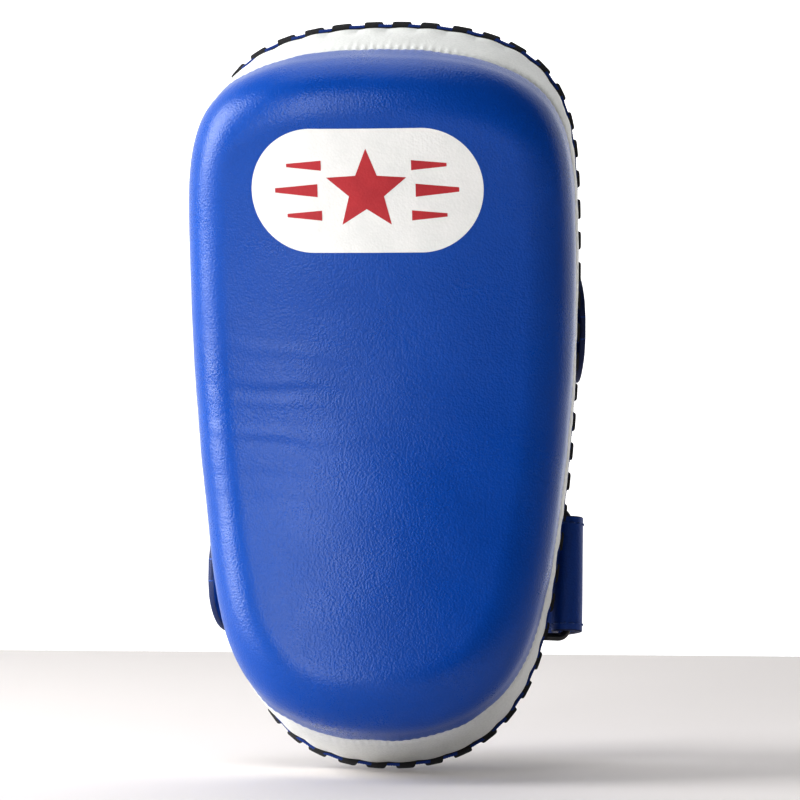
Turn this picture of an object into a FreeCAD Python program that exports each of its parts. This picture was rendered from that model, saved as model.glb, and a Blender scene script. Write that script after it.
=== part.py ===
import FreeCAD, Part
import math
import os

# Curved striking pad for kick and punch training, held on the forearm.
# Millimetres. Construction frame: the bend axis of the pad is the X axis, the pad
# stands along Z, its striking face looks to -Y and its straps are behind it, to +Y.
# The last step moves everything so that the origin is at the bottom centre.

# ---- pad body ----
pad_length = 386.8          # along the bent back
pad_width = 197.0           # widest, at the shoulders
foot_taper = 32.0           # the sides taper towards this much less at the lower end
taper_middle = -60.0        # along the back from its middle, where the taper is steepest
taper_run = 78.0            # how gently the taper comes in
top_squareness = 8.0        # higher is squarer
bottom_squareness = 5.0
corner_fullness = 2.25      # how full the four corners are
bend_radius = 584.0         # of the back panel
pad_thickness = 92.0        # at the middle, striking face to back panel
face_crown = 10.0           # the striking face falls away by this much to each side
face_edge_radius = 27.0     # round-over around the striking face
face_rise = 44.0            # from the seam round the gusset to the crest of the face
back_narrowing = 0.97       # the back panel is this much narrower than the seam
back_inset = 0.8            # and set in by this much all round
outline_points = 64
outline_sampling = 12       # finer steps while the outline is being spaced evenly

# ---- leather, foam and trim ----
cover_leather = 2.0
panel_leather = 2.5
strap_leather = 3.0
patch_leather = 2.5
cushion_leather = 1.5
seam_gap = 0.3              # between pieces that are sewn edge to edge
foam_gap = 0.4              # between a skin and the foam inside it
backer_foam_depth = 12.0
binding_tape = 1.2          # thickness of the tape bound over the back edge
binding_cover = 5.0         # how far the tape reaches onto the gusset and the panel
binding_fit = 0.2           # between the tape and what it is bound over
lace_thickness = 1.2
lace_width = 8.0
lace_bevel = 0.72           # of its outer corner
lace_sampling = 40          # finer steps along the edge while the wraps are placed
lace_pitch = 15.4
lace_reach = 7.5            # from the edge to where the lace goes through the leather

# ---- forearm cushion ----
cushion_width = 80.0
cushion_length = 230.0
cushion_middle = -28.0      # along the back from its middle
cushion_height = 13.0
cushion_ribs = 3
cushion_groove = 4.5        # depth of the sewn grooves between the ribs

# ---- straps ----
strap_width = 60.0
strap_setback = 13.0        # arch's half width is the pad's half width less this
strap_clearance = 62.0      # from back panel to the underside of the arch
arch_springing = 16.0       # height at which the arch begins on both sides
upper_strap_share = 0.0895  # along the back from its middle, as a share of the pad's length
lower_strap_share = -0.2363
tape_thickness = 1.7        # hook tape and loop tape
tape_setback = 10.0         # the tapes are this much narrower than the strap
tape_gap = 0.3              # between the hooks and the loops
layer_gap = 0.1             # between layers sewn to each other
seat_gap = 0.2              # between layers held by rivets
bend_pull = 0.55            # how full the bends are, as a share of their run
lean_pull = 0.4
tip_pull = 0.35
fold_inner_radius = 5.0     # of the strap where it turns back around the ring
tongue_start = 22.0         # degrees up the arch where the free tongue begins
tongue_corner = 24.0        # corner radius at the tongue's end
tongue_flare = 5.0          # how far its end stands off outwards
tongue_tip_height = 4.0     # above the back panel
tongue_gap = 0.3            # between the free tongue and the fixed fold
tongue_leave = 160.0        # degrees on the arch where the tongue's end leaves it
tape_from = 42.0            # degrees on the arch
tape_to = 150.0

# ---- rings, keepers and anchor patches ----
ring_wire = 4.0
ring_side_room = 1.0        # between the strap's edge and the ring's side wire
ring_corner = 5.0
bar_running_gap = 0.3
ring_bar_inset = 28.5       # keeper bar, in from the pad's half width
keeper_setback = 6.0        # the keeper is this much narrower than the strap
keeper_length = 24.0
keeper_wrap = 110.0         # degrees up round the bar
keeper_rise = 0.45          # share of its length where its upper layer lies flat
keeper_pull = 4.0           # how gently it comes down from the bar
keeper_ease = 5.0
patch_length = 22.0
patch_margin = 3.0
anchor_inset = 33.5         # outer edge of the anchor patch, in from the half width

# ---- handle ----
handle_share = 0.3066       # along the back from its middle, as a share of the pad's length
handle_inset = 16.4         # end of the ear's foot, in from the pad's half width
grip_diameter = 30.0
grip_leather = 1.8
core_diameter = 12.0
grip_height = 42.0          # grip axis above the back panel
pivot_height = 18.0         # tab rivet above the back panel
tab_leather = 3.5
tab_width = 30.0
ear_width = 32.0
ear_leather = 3.0
ear_foot = 20.0
ear_bend = 5.0
side_gap = 0.3
ear_lift = 0.6              # of the flat ears above the bent back panel
handle_patch_width = 40.0
handle_patch_setback = 0.5  # from the ear's bend

# ---- rivets ----
rivet_shank = 4.0
rivet_head = 9.0
rivet_head_height = 1.5
pivot_shank = 5.0
pivot_head = 10.0
pin_gap = 0.05
rivet_edge = 1.0            # between a rivet's head and the edge beside it
anchor_rivet_share = 0.6    # where the rivets sit along patch, keeper and ear
keeper_rivet_share = 0.78
ear_rivet_share = 0.6

# ---- how far cutting shapes reach past what they cut ----
cut_margin = 5.0
fan_margin = 6.0            # degrees
crown_overrun = 1.15
wall_overrun = 1.7

# ---- sizes that follow from the ones above ----
half_length = pad_length / 2
half_width_limit = pad_width / 2
foot_half_width = (pad_width - foot_taper) / 2
seam_depth = pad_thickness - face_rise
upper_strap_place = pad_length * upper_strap_share
lower_strap_place = pad_length * lower_strap_share
handle_place = pad_length * handle_share
tape_width = strap_width - tape_setback
keeper_width = strap_width - keeper_setback
near_plane = bend_radius - pad_thickness * wall_overrun
far_plane = bend_radius + strap_clearance
side_reach = pad_width
fan_angle = math.degrees(half_length / bend_radius) + fan_margin
half_strap = strap_leather / 2
arch_half_width = half_width_limit - strap_setback
arch_rise = strap_clearance + half_strap - arch_springing
loop_low = half_strap + layer_gap
loop_high = loop_low + tape_thickness
hook_low = loop_high + tape_gap
hook_high = hook_low + tape_thickness
tongue_low = hook_high + layer_gap
tongue_middle = tongue_low + half_strap
fold_radius = fold_inner_radius + half_strap
fold_middle_x = arch_half_width + tongue_middle / 2
fold_middle_h = arch_springing
patch_low = seam_gap
foot_middle_h = patch_low + patch_leather + seat_gap + half_strap
keeper_radius = ring_wire / 2 + bar_running_gap + half_strap
bar_x = half_width_limit - ring_bar_inset
bar_h = foot_middle_h + keeper_radius
anchor_x = half_width_limit - anchor_inset
rivet_reach = keeper_width / 2 - rivet_head
anchor_rivet_x = -anchor_x + patch_length * anchor_rivet_share
keeper_rivet_x = bar_x - keeper_length * keeper_rivet_share
hole_diameter = rivet_shank + 2 * pin_gap
ear_outer_x = half_width_limit - handle_inset - ear_foot
ear_inner_x = ear_outer_x - ear_leather
tab_outer_x = ear_inner_x - side_gap
tab_inner_x = tab_outer_x - tab_leather
grip_length = 2 * (tab_inner_x - side_gap)
grip_y = bend_radius + grip_height
pivot_y = bend_radius + pivot_height
handle_rivet_x = ear_outer_x + ear_foot * ear_rivet_share
handle_rivet_reach = ear_width / 2 - rivet_head / 2 - rivet_edge
handle_patch_low = ear_lift + ear_leather + layer_gap


def vec(x, y, z):
    return FreeCAD.Vector(x, y, z)


# ---- shapes on the bent pad ----

def on_bend(x, along, depth):
    """A point from its place across, along the back and in from the back panel."""
    angle = along / bend_radius
    radius = bend_radius - depth
    return vec(x, radius * math.cos(angle), radius * math.sin(angle))


def side_distance(along):
    """Half width of the pad at one place along its back."""
    middle = (half_width_limit + foot_half_width) / 2
    swing = (half_width_limit - foot_half_width) / 2
    width = middle + swing * math.tanh((along - taper_middle) / taper_run)
    power = top_squareness if along > 0 else bottom_squareness
    rest = max(0.0, 1.0 - abs(along / half_length) ** power)
    return width * rest ** (1.0 / corner_fullness)


def even_points(loop, count):
    """The same closed loop with its points evenly spaced."""
    closed = loop + [loop[0]]
    travelled = [0.0]
    for a, b in zip(closed, closed[1:]):
        travelled.append(travelled[-1] + math.hypot(b[0] - a[0], b[1] - a[1]))
    points = []
    place = 0
    for index in range(count):
        target = travelled[-1] * index / count
        while travelled[place + 1] < target:
            place += 1
        share = (target - travelled[place]) / (travelled[place + 1] - travelled[place])
        a = closed[place]
        b = closed[place + 1]
        points.append((a[0] + (b[0] - a[0]) * share, a[1] + (b[1] - a[1]) * share))
    return points


def inset_loop(loop, inset):
    """The closed loop moved inwards by the inset; a negative inset grows it."""
    moved = []
    count = len(loop)
    for index in range(count):
        before = loop[index - 1]
        after = loop[(index + 1) % count]
        run_x = after[0] - before[0]
        run_s = after[1] - before[1]
        size = math.hypot(run_x, run_s)
        point = loop[index]
        moved.append((point[0] + inset * run_s / size, point[1] - inset * run_x / size))
    return moved


def seam_outline(inset=0.0, count=outline_points):
    """Outline of the pad where gusset and striking face are sewn together."""
    steps = outline_sampling * outline_points
    right = []
    for index in range(steps + 1):
        along = half_length * math.cos(math.pi * index / steps)
        right.append((side_distance(along), along))
    left = [(-x, along) for x, along in reversed(right[1:-1])]
    return inset_loop(even_points(right + left, count), inset)


def back_outline(inset=0.0, count=outline_points):
    """Outline of the back panel."""
    narrow = [(x * back_narrowing, along) for x, along in seam_outline(0.0, count)]
    return inset_loop(narrow, back_inset + inset)


def carry_to_plane(start, end, plane):
    """Where the line through two points meets a plane across the Y axis."""
    share = (plane - start.y) / (end.y - start.y)
    return start + (end - start) * share


def wall_block(back_loop, front_loop):
    """Solid inside the straight-ruled wall from the back outline to the seam outline."""
    wires = []
    for plane in (near_plane, far_plane):
        points = []
        for back, front in zip(back_loop, front_loop):
            start = on_bend(back[0], back[1], 0.0)
            end = on_bend(front[0], front[1], seam_depth)
            points.append(carry_to_plane(start, end, plane))
        curve = Part.BSplineCurve()
        places = [float(index) for index in range(len(points) + 1)]
        curve.interpolate(Points=points, PeriodicFlag=True, Parameters=places)
        wires.append(Part.Wire([curve.toShape()]))
    return Part.makeLoft(wires, True, True)


def turned(face, low, high):
    """A face in the XY plane swept about the bend axis between two angles."""
    origin = vec(0, 0, 0)
    face.rotate(origin, vec(1, 0, 0), low)
    return face.revolve(origin, vec(1, 0, 0), high - low)


def layer(low_depth, high_depth):
    """Everything between two depths in from the back panel."""
    low = bend_radius - high_depth
    high = bend_radius - low_depth
    corners = [vec(-side_reach, low, 0), vec(side_reach, low, 0)]
    corners += [vec(side_reach, high, 0), vec(-side_reach, high, 0)]
    face = Part.Face(Part.makePolygon(corners + [corners[0]]))
    return turned(face, -fan_angle, fan_angle)


def straight_wall(inset):
    """Solid inside the radial wall of the striking part."""
    loop = seam_outline(inset)
    return wall_block(loop, loop)


def leaning_wall(inset):
    """Solid inside the gusset's wall, which leans in towards the back panel."""
    return wall_block(back_outline(inset), seam_outline(inset))


def face_block(inset, edge_radius, from_depth):
    """Solid under the crowned striking face, its edge rounded over."""
    middle = bend_radius - pad_thickness + inset
    low = bend_radius - from_depth
    half = half_width_limit
    crown_radius = (half * half + face_crown * face_crown) / (2 * face_crown)
    reach = half * crown_overrun
    outer = middle + crown_radius - math.sqrt(crown_radius * crown_radius - reach * reach)
    curve = Part.Arc(vec(-reach, outer, 0), vec(0, middle, 0), vec(reach, outer, 0))
    sides = [curve.toShape()]
    sides.append(Part.makeLine(vec(reach, outer, 0), vec(reach, low, 0)))
    sides.append(Part.makeLine(vec(reach, low, 0), vec(-reach, low, 0)))
    sides.append(Part.makeLine(vec(-reach, low, 0), vec(-reach, outer, 0)))
    crowned = turned(Part.Face(Part.Wire(sides)), -fan_angle, fan_angle)
    block = crowned.common(straight_wall(inset))
    return block.makeFillet(edge_radius, front_edges(block))


def front_edges(block):
    """Edges around the striking face."""
    limit = bend_radius - (seam_depth + pad_thickness) / 2
    found = []
    for edge in block.Edges:
        span = edge.LastParameter - edge.FirstParameter
        places = [edge.valueAt(edge.FirstParameter + span * share) for share in (0.0, 0.5, 1.0)]
        if all(math.hypot(place.y, place.z) < limit for place in places):
            found.append(edge)
    return found


def make_front_cover():
    outer = face_block(0.0, face_edge_radius, seam_depth + seam_gap / 2)
    inner = face_block(cover_leather, face_edge_radius - cover_leather, seam_depth - cut_margin)
    return outer.cut(inner)


def make_strike_foam():
    inset = cover_leather + foam_gap
    return face_block(inset, face_edge_radius - inset, seam_depth + foam_gap)


def make_side_gusset():
    ring = leaning_wall(0.0).cut(leaning_wall(cover_leather))
    return ring.common(layer(panel_leather + seam_gap, seam_depth - seam_gap / 2))


def make_core_foam():
    inside = leaning_wall(cover_leather + foam_gap)
    low = panel_leather + backer_foam_depth + 2 * foam_gap
    return inside.common(layer(low, seam_depth))


def make_backer_foam():
    inside = leaning_wall(cover_leather + foam_gap)
    low = panel_leather + foam_gap
    return inside.common(layer(low, low + backer_foam_depth))


def make_back_panel():
    return leaning_wall(0.0).common(layer(0.0, panel_leather))


def make_edge_binding():
    skin = -binding_fit - binding_tape
    outside = leaning_wall(skin).common(layer(skin, binding_cover))
    hollow = leaning_wall(-binding_fit).common(layer(-binding_fit, binding_cover + cut_margin))
    return outside.cut(hollow).cut(leaning_wall(binding_cover))


def make_edge_lace():
    """Flat lace whipped over the binding, one wrap after another round the edge."""
    sample = back_outline(0.0, lace_sampling * outline_points)
    seam = seam_outline(0.0, lace_sampling * outline_points)
    around = 0.0
    for a, b in zip(sample, sample[1:] + [sample[0]]):
        around += math.hypot(b[0] - a[0], b[1] - a[1])
    count = int(round(around / lace_pitch))
    under = binding_fit + layer_gap + binding_tape
    over = under + lace_thickness
    profile = [(-lace_reach, -under), (under, -under), (under, lace_reach), (over, lace_reach)]
    profile += [(over, lace_bevel - over), (over - lace_bevel, -over), (-lace_reach, -over)]
    wraps = []
    for index in range(count):
        place = int((index + 0.5) * len(sample) / count)
        x, along = sample[place]
        before = sample[place - 1]
        after = sample[(place + 1) % len(sample)]
        here = on_bend(x, along, 0.0)
        tangent = on_bend(after[0], after[1], 0.0) - on_bend(before[0], before[1], 0.0)
        tangent.normalize()
        inward = vec(0, -here.y, -here.z)
        inward.normalize()
        outward = inward.cross(tangent)
        outward.normalize()
        inward = (on_bend(seam[place][0], seam[place][1], seam_depth) - here) / seam_depth
        corners = []
        for side, depth in profile:
            corners.append(here + outward * side + inward * depth - tangent * (lace_width / 2))
        face = Part.Face(Part.makePolygon(corners + [corners[0]]))
        wraps.append(face.extrude(tangent * lace_width))
    return Part.makeCompound(wraps)


# ---- forearm cushion ----

def cushion_block(inset):
    """Ribbed cushion on the back panel, made smaller all round by the inset."""
    half = cushion_width / 2 - inset
    base = bend_radius + seam_gap + inset
    rib = 2 * half / cushion_ribs
    groove = bend_radius + cushion_height - cushion_groove - inset
    crest = bend_radius + cushion_height - inset
    shoulder = (base + groove) / 2
    sides = [Part.makeLine(vec(half, base, 0), vec(-half, base, 0))]
    sides.append(Part.makeLine(vec(-half, base, 0), vec(-half, shoulder, 0)))
    start = vec(-half, shoulder, 0)
    for index in range(cushion_ribs):
        last = index == cushion_ribs - 1
        end = vec(half, shoulder, 0) if last else vec(-half + rib * (index + 1), groove, 0)
        top = vec((start.x + end.x) / 2, crest, 0)
        sides.append(Part.Arc(start, top, end).toShape())
        start = end
    sides.append(Part.makeLine(start, vec(half, base, 0)))
    low = math.degrees((cushion_middle - cushion_length / 2 + inset) / bend_radius)
    high = math.degrees((cushion_middle + cushion_length / 2 - inset) / bend_radius)
    return turned(Part.Face(Part.Wire(sides)), low, high)


def make_cushion_cover():
    return cushion_block(0.0).cut(cushion_block(cushion_leather))


def make_cushion_foam():
    return cushion_block(cushion_leather + foam_gap)


# ---- strips of leather and tape, drawn across and above the back panel ----

def along_arch(degrees, distance=0.0):
    """Point of the strap's arch, moved outwards by the distance."""
    angle = math.radians(degrees)
    x = arch_half_width * math.cos(angle)
    h = arch_springing + arch_rise * math.sin(angle)
    normal_x = math.cos(angle) / arch_half_width
    normal_h = math.sin(angle) / arch_rise
    size = math.hypot(normal_x, normal_h)
    return (x + distance * normal_x / size, h + distance * normal_h / size)


def arch_points(start, end, distance=0.0, steps=24):
    """Points along the arch between two angles in degrees."""
    return [along_arch(start + (end - start) * index / steps, distance) for index in range(steps + 1)]


def unit(start, end):
    """Direction from one point to another."""
    size = math.hypot(end[0] - start[0], end[1] - start[1])
    return ((end[0] - start[0]) / size, (end[1] - start[1]) / size)


def straight(start, end, steps=6):
    """Points of a straight run, without its first point."""
    points = []
    for index in range(1, steps + 1):
        share = index / steps
        points.append((start[0] + (end[0] - start[0]) * share, start[1] + (end[1] - start[1]) * share))
    return points


def sweep_between(start, start_pull, end, end_pull, steps=8):
    """Points of a smooth bend from one point to another, without its first point."""
    points = []
    for index in range(1, steps + 1):
        t = index / steps
        weights = ((1 - t) ** 3, 3 * t * (1 - t) ** 2, 3 * t * t * (1 - t), t ** 3)
        corners = (start, start_pull, end_pull, end)
        x = sum(weight * corner[0] for weight, corner in zip(weights, corners))
        h = sum(weight * corner[1] for weight, corner in zip(weights, corners))
        points.append((x, h))
    return points


def arc_about(middle, radius, start, end, steps=12):
    """Points around a circle from one angle to another, in degrees."""
    points = []
    for index in range(steps + 1):
        angle = math.radians(start + (end - start) * index / steps)
        points.append((middle[0] + radius * math.cos(angle), middle[1] + radius * math.sin(angle)))
    return points


def beside(path, distance):
    """The path moved to its left by the distance."""
    moved = []
    for index, point in enumerate(path):
        before = path[max(index - 1, 0)]
        after = path[min(index + 1, len(path) - 1)]
        run_x = after[0] - before[0]
        run_h = after[1] - before[1]
        size = math.hypot(run_x, run_h)
        moved.append(vec(point[0] - distance * run_h / size, point[1] + distance * run_x / size, 0))
    return moved


def strip(path, thickness, width):
    """A strip of even thickness that follows the path, centred on Z = 0."""
    edges = []
    rails = []
    for distance in (-thickness / 2, thickness / 2):
        rail = [point + vec(0, bend_radius, -width / 2) for point in beside(path, distance)]
        curve = Part.BSplineCurve()
        curve.interpolate(rail)
        edges.append(curve.toShape())
        rails.append(rail)
    edges.insert(1, Part.makeLine(rails[0][-1], rails[1][-1]))
    edges.append(Part.makeLine(rails[1][0], rails[0][0]))
    face = Part.Face(Part.Wire(Part.__sortEdges__(edges)))
    return face.extrude(vec(0, 0, width))


def plate(low_x, high_x, low_h, high_h, width):
    """Flat block above the back panel, centred on Z = 0."""
    corner = vec(low_x, bend_radius + low_h, -width / 2)
    return Part.makeBox(high_x - low_x, high_h - low_h, width, corner)


def round_bar(diameter, start, end):
    """Round bar from one point to another."""
    run = end - start
    return Part.makeCylinder(diameter / 2, run.Length, start, run)


def at_place(shape, along, mirrored=False):
    """The shape turned about the bend axis to its place along the back."""
    placed = shape.copy()
    if mirrored:
        placed = placed.mirror(vec(0, 0, 0), vec(1, 0, 0))
    placed.rotate(vec(0, 0, 0), vec(1, 0, 0), math.degrees(along / bend_radius))
    return placed


# ---- straps ----

def span_path():
    """Middle of the strap from its sewn foot over the arch and around the ring."""
    left = fold_middle_x - fold_radius
    foot_bend = arch_springing - foot_middle_h
    path = [(-anchor_x + patch_length, foot_middle_h)]
    foot = (-left + foot_bend, foot_middle_h)
    spring = (-left, arch_springing)
    path += straight(path[0], foot)
    pull = foot_bend * bend_pull
    path += sweep_between(foot, (foot[0] - pull, foot[1]), spring, (spring[0], spring[1] - pull))
    rise = along_arch(180 - tongue_start)
    before = along_arch(180 - tongue_start + 1)
    lean = unit(before, rise)
    reach = (rise[1] - spring[1]) * lean_pull
    path += sweep_between(spring, (spring[0], spring[1] + reach), rise,
                          (rise[0] - lean[0] * reach, rise[1] - lean[1] * reach))
    path += arch_points(180 - tongue_start, tongue_start)[1:]
    fall = along_arch(tongue_start)
    lean = unit(along_arch(tongue_start + 1), fall)
    turn = (left, fold_middle_h)
    path += sweep_between(fall, (fall[0] + lean[0] * reach, fall[1] + lean[1] * reach),
                          turn, (turn[0], turn[1] + reach))
    path += arc_about((fold_middle_x, fold_middle_h), fold_radius, 180, 360)[1:]
    out = (fold_middle_x + fold_radius, fold_middle_h)
    stop_angle = tongue_start - math.degrees(tongue_gap / arch_rise)
    stop = along_arch(stop_angle, tongue_middle)
    lean = unit(along_arch(stop_angle - 1, tongue_middle), stop)
    path += sweep_between(out, (out[0], out[1] + reach), stop,
                          (stop[0] - lean[0] * reach, stop[1] - lean[1] * reach))
    return path


def tongue_path():
    """Middle of the free tongue, from the fold over the arch to its standing-off end."""
    path = arch_points(tongue_start, tongue_leave, tongue_middle)
    start = path[-1]
    lean = unit(path[-2], start)
    tip = (-arch_half_width - tongue_middle - tongue_flare, tongue_tip_height)
    pull = (start[1] - tip[1]) * lean_pull
    path += sweep_between(start, (start[0] + lean[0] * pull, start[1] + lean[1] * pull),
                          tip, (tip[0] + pull * tip_pull, tip[1] + pull))
    return path


def tongue_shape():
    """Outline of the tongue seen from the side, its end rounded."""
    half = strap_width / 2
    low = bend_radius + tongue_tip_height - half_strap
    turn = low + tongue_corner
    top = far_plane + strap_width
    flat = half - tongue_corner
    slant = tongue_corner * math.sqrt(0.5)
    side = -side_reach

    def corner_arc(sign, reverse):
        ends = [vec(side, turn, sign * half), vec(side, low, sign * flat)]
        middle = vec(side, turn - slant, sign * (flat + slant))
        if reverse:
            ends.reverse()
        return Part.Arc(ends[0], middle, ends[1]).toShape()

    edges = [corner_arc(1, False)]
    edges.append(Part.makeLine(vec(side, low, flat), vec(side, low, -flat)))
    edges.append(corner_arc(-1, True))
    edges.append(Part.makeLine(vec(side, turn, -half), vec(side, top, -half)))
    edges.append(Part.makeLine(vec(side, top, -half), vec(side, top, half)))
    edges.append(Part.makeLine(vec(side, top, half), vec(side, turn, half)))
    return Part.Face(Part.Wire(edges)).extrude(vec(2 * side_reach, 0, 0))


def patch_plate(low_x, high_x, width, thickness):
    """Patch that lies on the bent back panel."""
    block = plate(low_x, high_x, -cut_margin, thickness + cut_margin, width)
    return block.common(layer(-patch_low - thickness, -patch_low))


def rivet_row(x, reach, low, high, shank, head):
    """Two rivets side by side, heads on the strap side."""
    rivets = []
    for side in (-reach, reach):
        foot = vec(x, bend_radius + low, side)
        neck = vec(x, bend_radius + high, side)
        top = vec(x, bend_radius + high + rivet_head_height, side)
        rivets.append(round_bar(shank, foot, neck).fuse(round_bar(head, neck, top)).removeSplitter())
    return rivets


def drilled(shape, x, reach, diameter):
    """The shape with the two holes its rivets go through."""
    result = shape
    for side in (-reach, reach):
        low = vec(x, bend_radius - cut_margin, side)
        high = vec(x, bend_radius + arch_springing, side)
        result = result.cut(round_bar(diameter, low, high))
    return result


def make_strap_span():
    strap = strip(span_path(), strap_leather, strap_width)
    return drilled(strap, anchor_rivet_x, rivet_reach, hole_diameter)


def make_anchor_patch():
    low = -anchor_x
    patch = patch_plate(low, low + patch_length, strap_width + 2 * patch_margin, patch_leather)
    return drilled(patch, anchor_rivet_x, rivet_reach, hole_diameter)


def make_loop_patch():
    middle = (loop_low + loop_high) / 2
    return strip(arch_points(tape_from, tape_to, middle), tape_thickness, tape_width)


def make_hook_patch():
    middle = (hook_low + hook_high) / 2
    return strip(arch_points(tape_from, tape_to, middle), tape_thickness, tape_width)


def make_strap_tongue():
    strap = strip(tongue_path(), strap_leather, strap_width)
    return strap.common(tongue_shape())


def keeper_path():
    """Middle of the tab that holds the ring: out under the bar, round it and back."""
    inner_x = bar_x - keeper_length
    upper = foot_middle_h + strap_leather + seat_gap
    rise_x = inner_x + keeper_length * keeper_rise
    path = [(inner_x, foot_middle_h)]
    path += straight(path[0], (bar_x, foot_middle_h))
    path += arc_about((bar_x, bar_h), keeper_radius, -90, keeper_wrap)[1:]
    last = path[-1]
    lean = unit(path[-2], last)
    path += sweep_between(last, (last[0] + lean[0] * keeper_pull, last[1] + lean[1] * keeper_pull),
                          (rise_x, upper), (rise_x + keeper_ease, upper))
    path += straight(path[-1], (inner_x, upper))
    return path


def make_ring_keeper():
    tab = strip(keeper_path(), strap_leather, keeper_width)
    return drilled(tab, keeper_rivet_x, rivet_reach, hole_diameter)


def make_keeper_patch():
    low = bar_x - keeper_length - patch_margin
    patch = patch_plate(low, low + patch_length, keeper_width + 2 * patch_margin, patch_leather)
    return drilled(patch, keeper_rivet_x, rivet_reach, hole_diameter)


def make_ring():
    """Rounded wire ring: one bar in the keeper, the other inside the strap's fold."""
    near = vec(bar_x, bend_radius + bar_h, 0)
    far = vec(fold_middle_x, bend_radius + fold_middle_h, 0)
    out = far - near
    reach = out.Length
    out.normalize()
    up = vec(0, 0, 1)
    half = strap_width / 2 + ring_side_room + ring_wire / 2
    turn = ring_corner
    slant = turn * (1 - math.sqrt(0.5))

    def place(along_out, along_up):
        return near + out * along_out + up * along_up

    edges = []
    for along_out in (0, reach):
        edges.append(Part.makeLine(place(along_out, turn - half), place(along_out, half - turn)))
    for flip in (1, -1):
        edges.append(Part.makeLine(place(turn, flip * half), place(reach - turn, flip * half)))
        edges.append(Part.Arc(place(0, flip * (half - turn)), place(slant, flip * (half - slant)),
                              place(turn, flip * half)).toShape())
        edges.append(Part.Arc(place(reach - turn, flip * half), place(reach - slant, flip * (half - slant)),
                              place(reach, flip * (half - turn))).toShape())
    spine = Part.Wire(Part.__sortEdges__(edges))
    start = spine.Edges[0]
    point = start.valueAt(start.FirstParameter)
    section = Part.Wire([Part.makeCircle(ring_wire / 2, point, start.tangentAt(start.FirstParameter))])
    return spine.makePipeShell([section], True, False)


def strap_rivets(kind):
    """Rivets of one strap, through its foot or through its ring keeper."""
    if kind == "anchor":
        top = foot_middle_h + half_strap + layer_gap
        return rivet_row(anchor_rivet_x, rivet_reach, patch_low, top, rivet_shank, rivet_head)
    top = foot_middle_h + 3 * half_strap + seat_gap + layer_gap
    return rivet_row(keeper_rivet_x, rivet_reach, patch_low, top, rivet_shank, rivet_head)


def both_straps_rivets(kind):
    """The same rivets on both straps; the upper strap runs the other way round."""
    rivets = []
    for rivet in strap_rivets(kind):
        rivets.append(at_place(rivet, lower_strap_place))
        rivets.append(at_place(rivet, upper_strap_place, True))
    return Part.makeCompound(rivets)


# ---- handle ----

def stadium(low_x, high_x, low_y, high_y, radius):
    """Upright plate with round ends about two heights."""
    ends = []
    for middle in (low_y, high_y):
        ends.append(Part.makeCylinder(radius, high_x - low_x, vec(low_x, middle, 0), vec(1, 0, 0)))
    corner = vec(low_x, low_y, -radius)
    web = Part.makeBox(high_x - low_x, high_y - low_y, 2 * radius, corner)
    return web.fuse(ends).removeSplitter()


def cross_hole(shape, height_y, diameter):
    """The shape with a hole through it along X."""
    start = vec(-side_reach, height_y, 0)
    return shape.cut(round_bar(diameter, start, vec(side_reach, height_y, 0)))


def make_handle_core():
    reach = tab_outer_x + side_gap / 2
    return round_bar(core_diameter, vec(-reach, grip_y, 0), vec(reach, grip_y, 0))


def make_handle_padding():
    half = grip_length / 2 - foam_gap
    inside = core_diameter + 2 * pin_gap
    outside = grip_diameter - 2 * grip_leather - 2 * foam_gap
    roll = round_bar(outside, vec(-half, grip_y, 0), vec(half, grip_y, 0))
    return cross_hole(roll, grip_y, inside)


def make_handle_cover():
    half = grip_length / 2
    roll = round_bar(grip_diameter, vec(-half, grip_y, 0), vec(half, grip_y, 0))
    return cross_hole(roll, grip_y, grip_diameter - 2 * grip_leather)


def make_handle_tab():
    tab = stadium(tab_inner_x, tab_outer_x, pivot_y, grip_y, tab_width / 2)
    tab = cross_hole(tab, grip_y, core_diameter + 2 * pin_gap)
    return cross_hole(tab, pivot_y, pivot_shank + 2 * pin_gap)


def make_handle_ear():
    """Leather ear: a round-topped upright beside the tab and a foot on the back panel."""
    middle_x = (ear_inner_x + ear_outer_x) / 2
    foot_h = ear_lift + ear_leather / 2
    turn = ear_bend
    top = pivot_height + ear_width / 2
    path = [(middle_x, top)]
    path += straight(path[0], (middle_x, foot_h + turn))
    path += arc_about((middle_x + turn, foot_h + turn), turn, 180, 270, 8)[1:]
    path += straight(path[-1], (ear_outer_x + ear_foot, foot_h))
    ear = strip(path, ear_leather, ear_width)
    crown = Part.makeCylinder(ear_width / 2, side_reach, vec(0, pivot_y, 0), vec(1, 0, 0))
    corner = vec(0, bend_radius - cut_margin, -ear_width / 2)
    body = Part.makeBox(side_reach, pivot_height + cut_margin, ear_width, corner)
    ear = ear.common(crown.fuse(body))
    ear = cross_hole(ear, pivot_y, pivot_shank + 2 * pin_gap)
    return drilled(ear, handle_rivet_x, handle_rivet_reach, hole_diameter)


def make_handle_patch():
    low_x = ear_outer_x + ear_bend + handle_patch_setback
    high_x = ear_outer_x + ear_foot
    patch = plate(low_x, high_x, handle_patch_low, handle_patch_low + patch_leather, handle_patch_width)
    return drilled(patch, handle_rivet_x, handle_rivet_reach, hole_diameter)


def make_pivot_rivet():
    inner = vec(tab_inner_x - side_gap, pivot_y, 0)
    outer = vec(ear_outer_x + side_gap, pivot_y, 0)
    rivet = round_bar(pivot_shank, inner, outer)
    rivet = rivet.fuse(round_bar(pivot_head, inner - vec(rivet_head_height, 0, 0), inner))
    return rivet.fuse(round_bar(pivot_head, outer, outer + vec(rivet_head_height, 0, 0))).removeSplitter()


def make_patch_rivets():
    top = handle_patch_low + patch_leather + layer_gap
    return rivet_row(handle_rivet_x, handle_rivet_reach, patch_low, top, rivet_shank, rivet_head)


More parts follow.
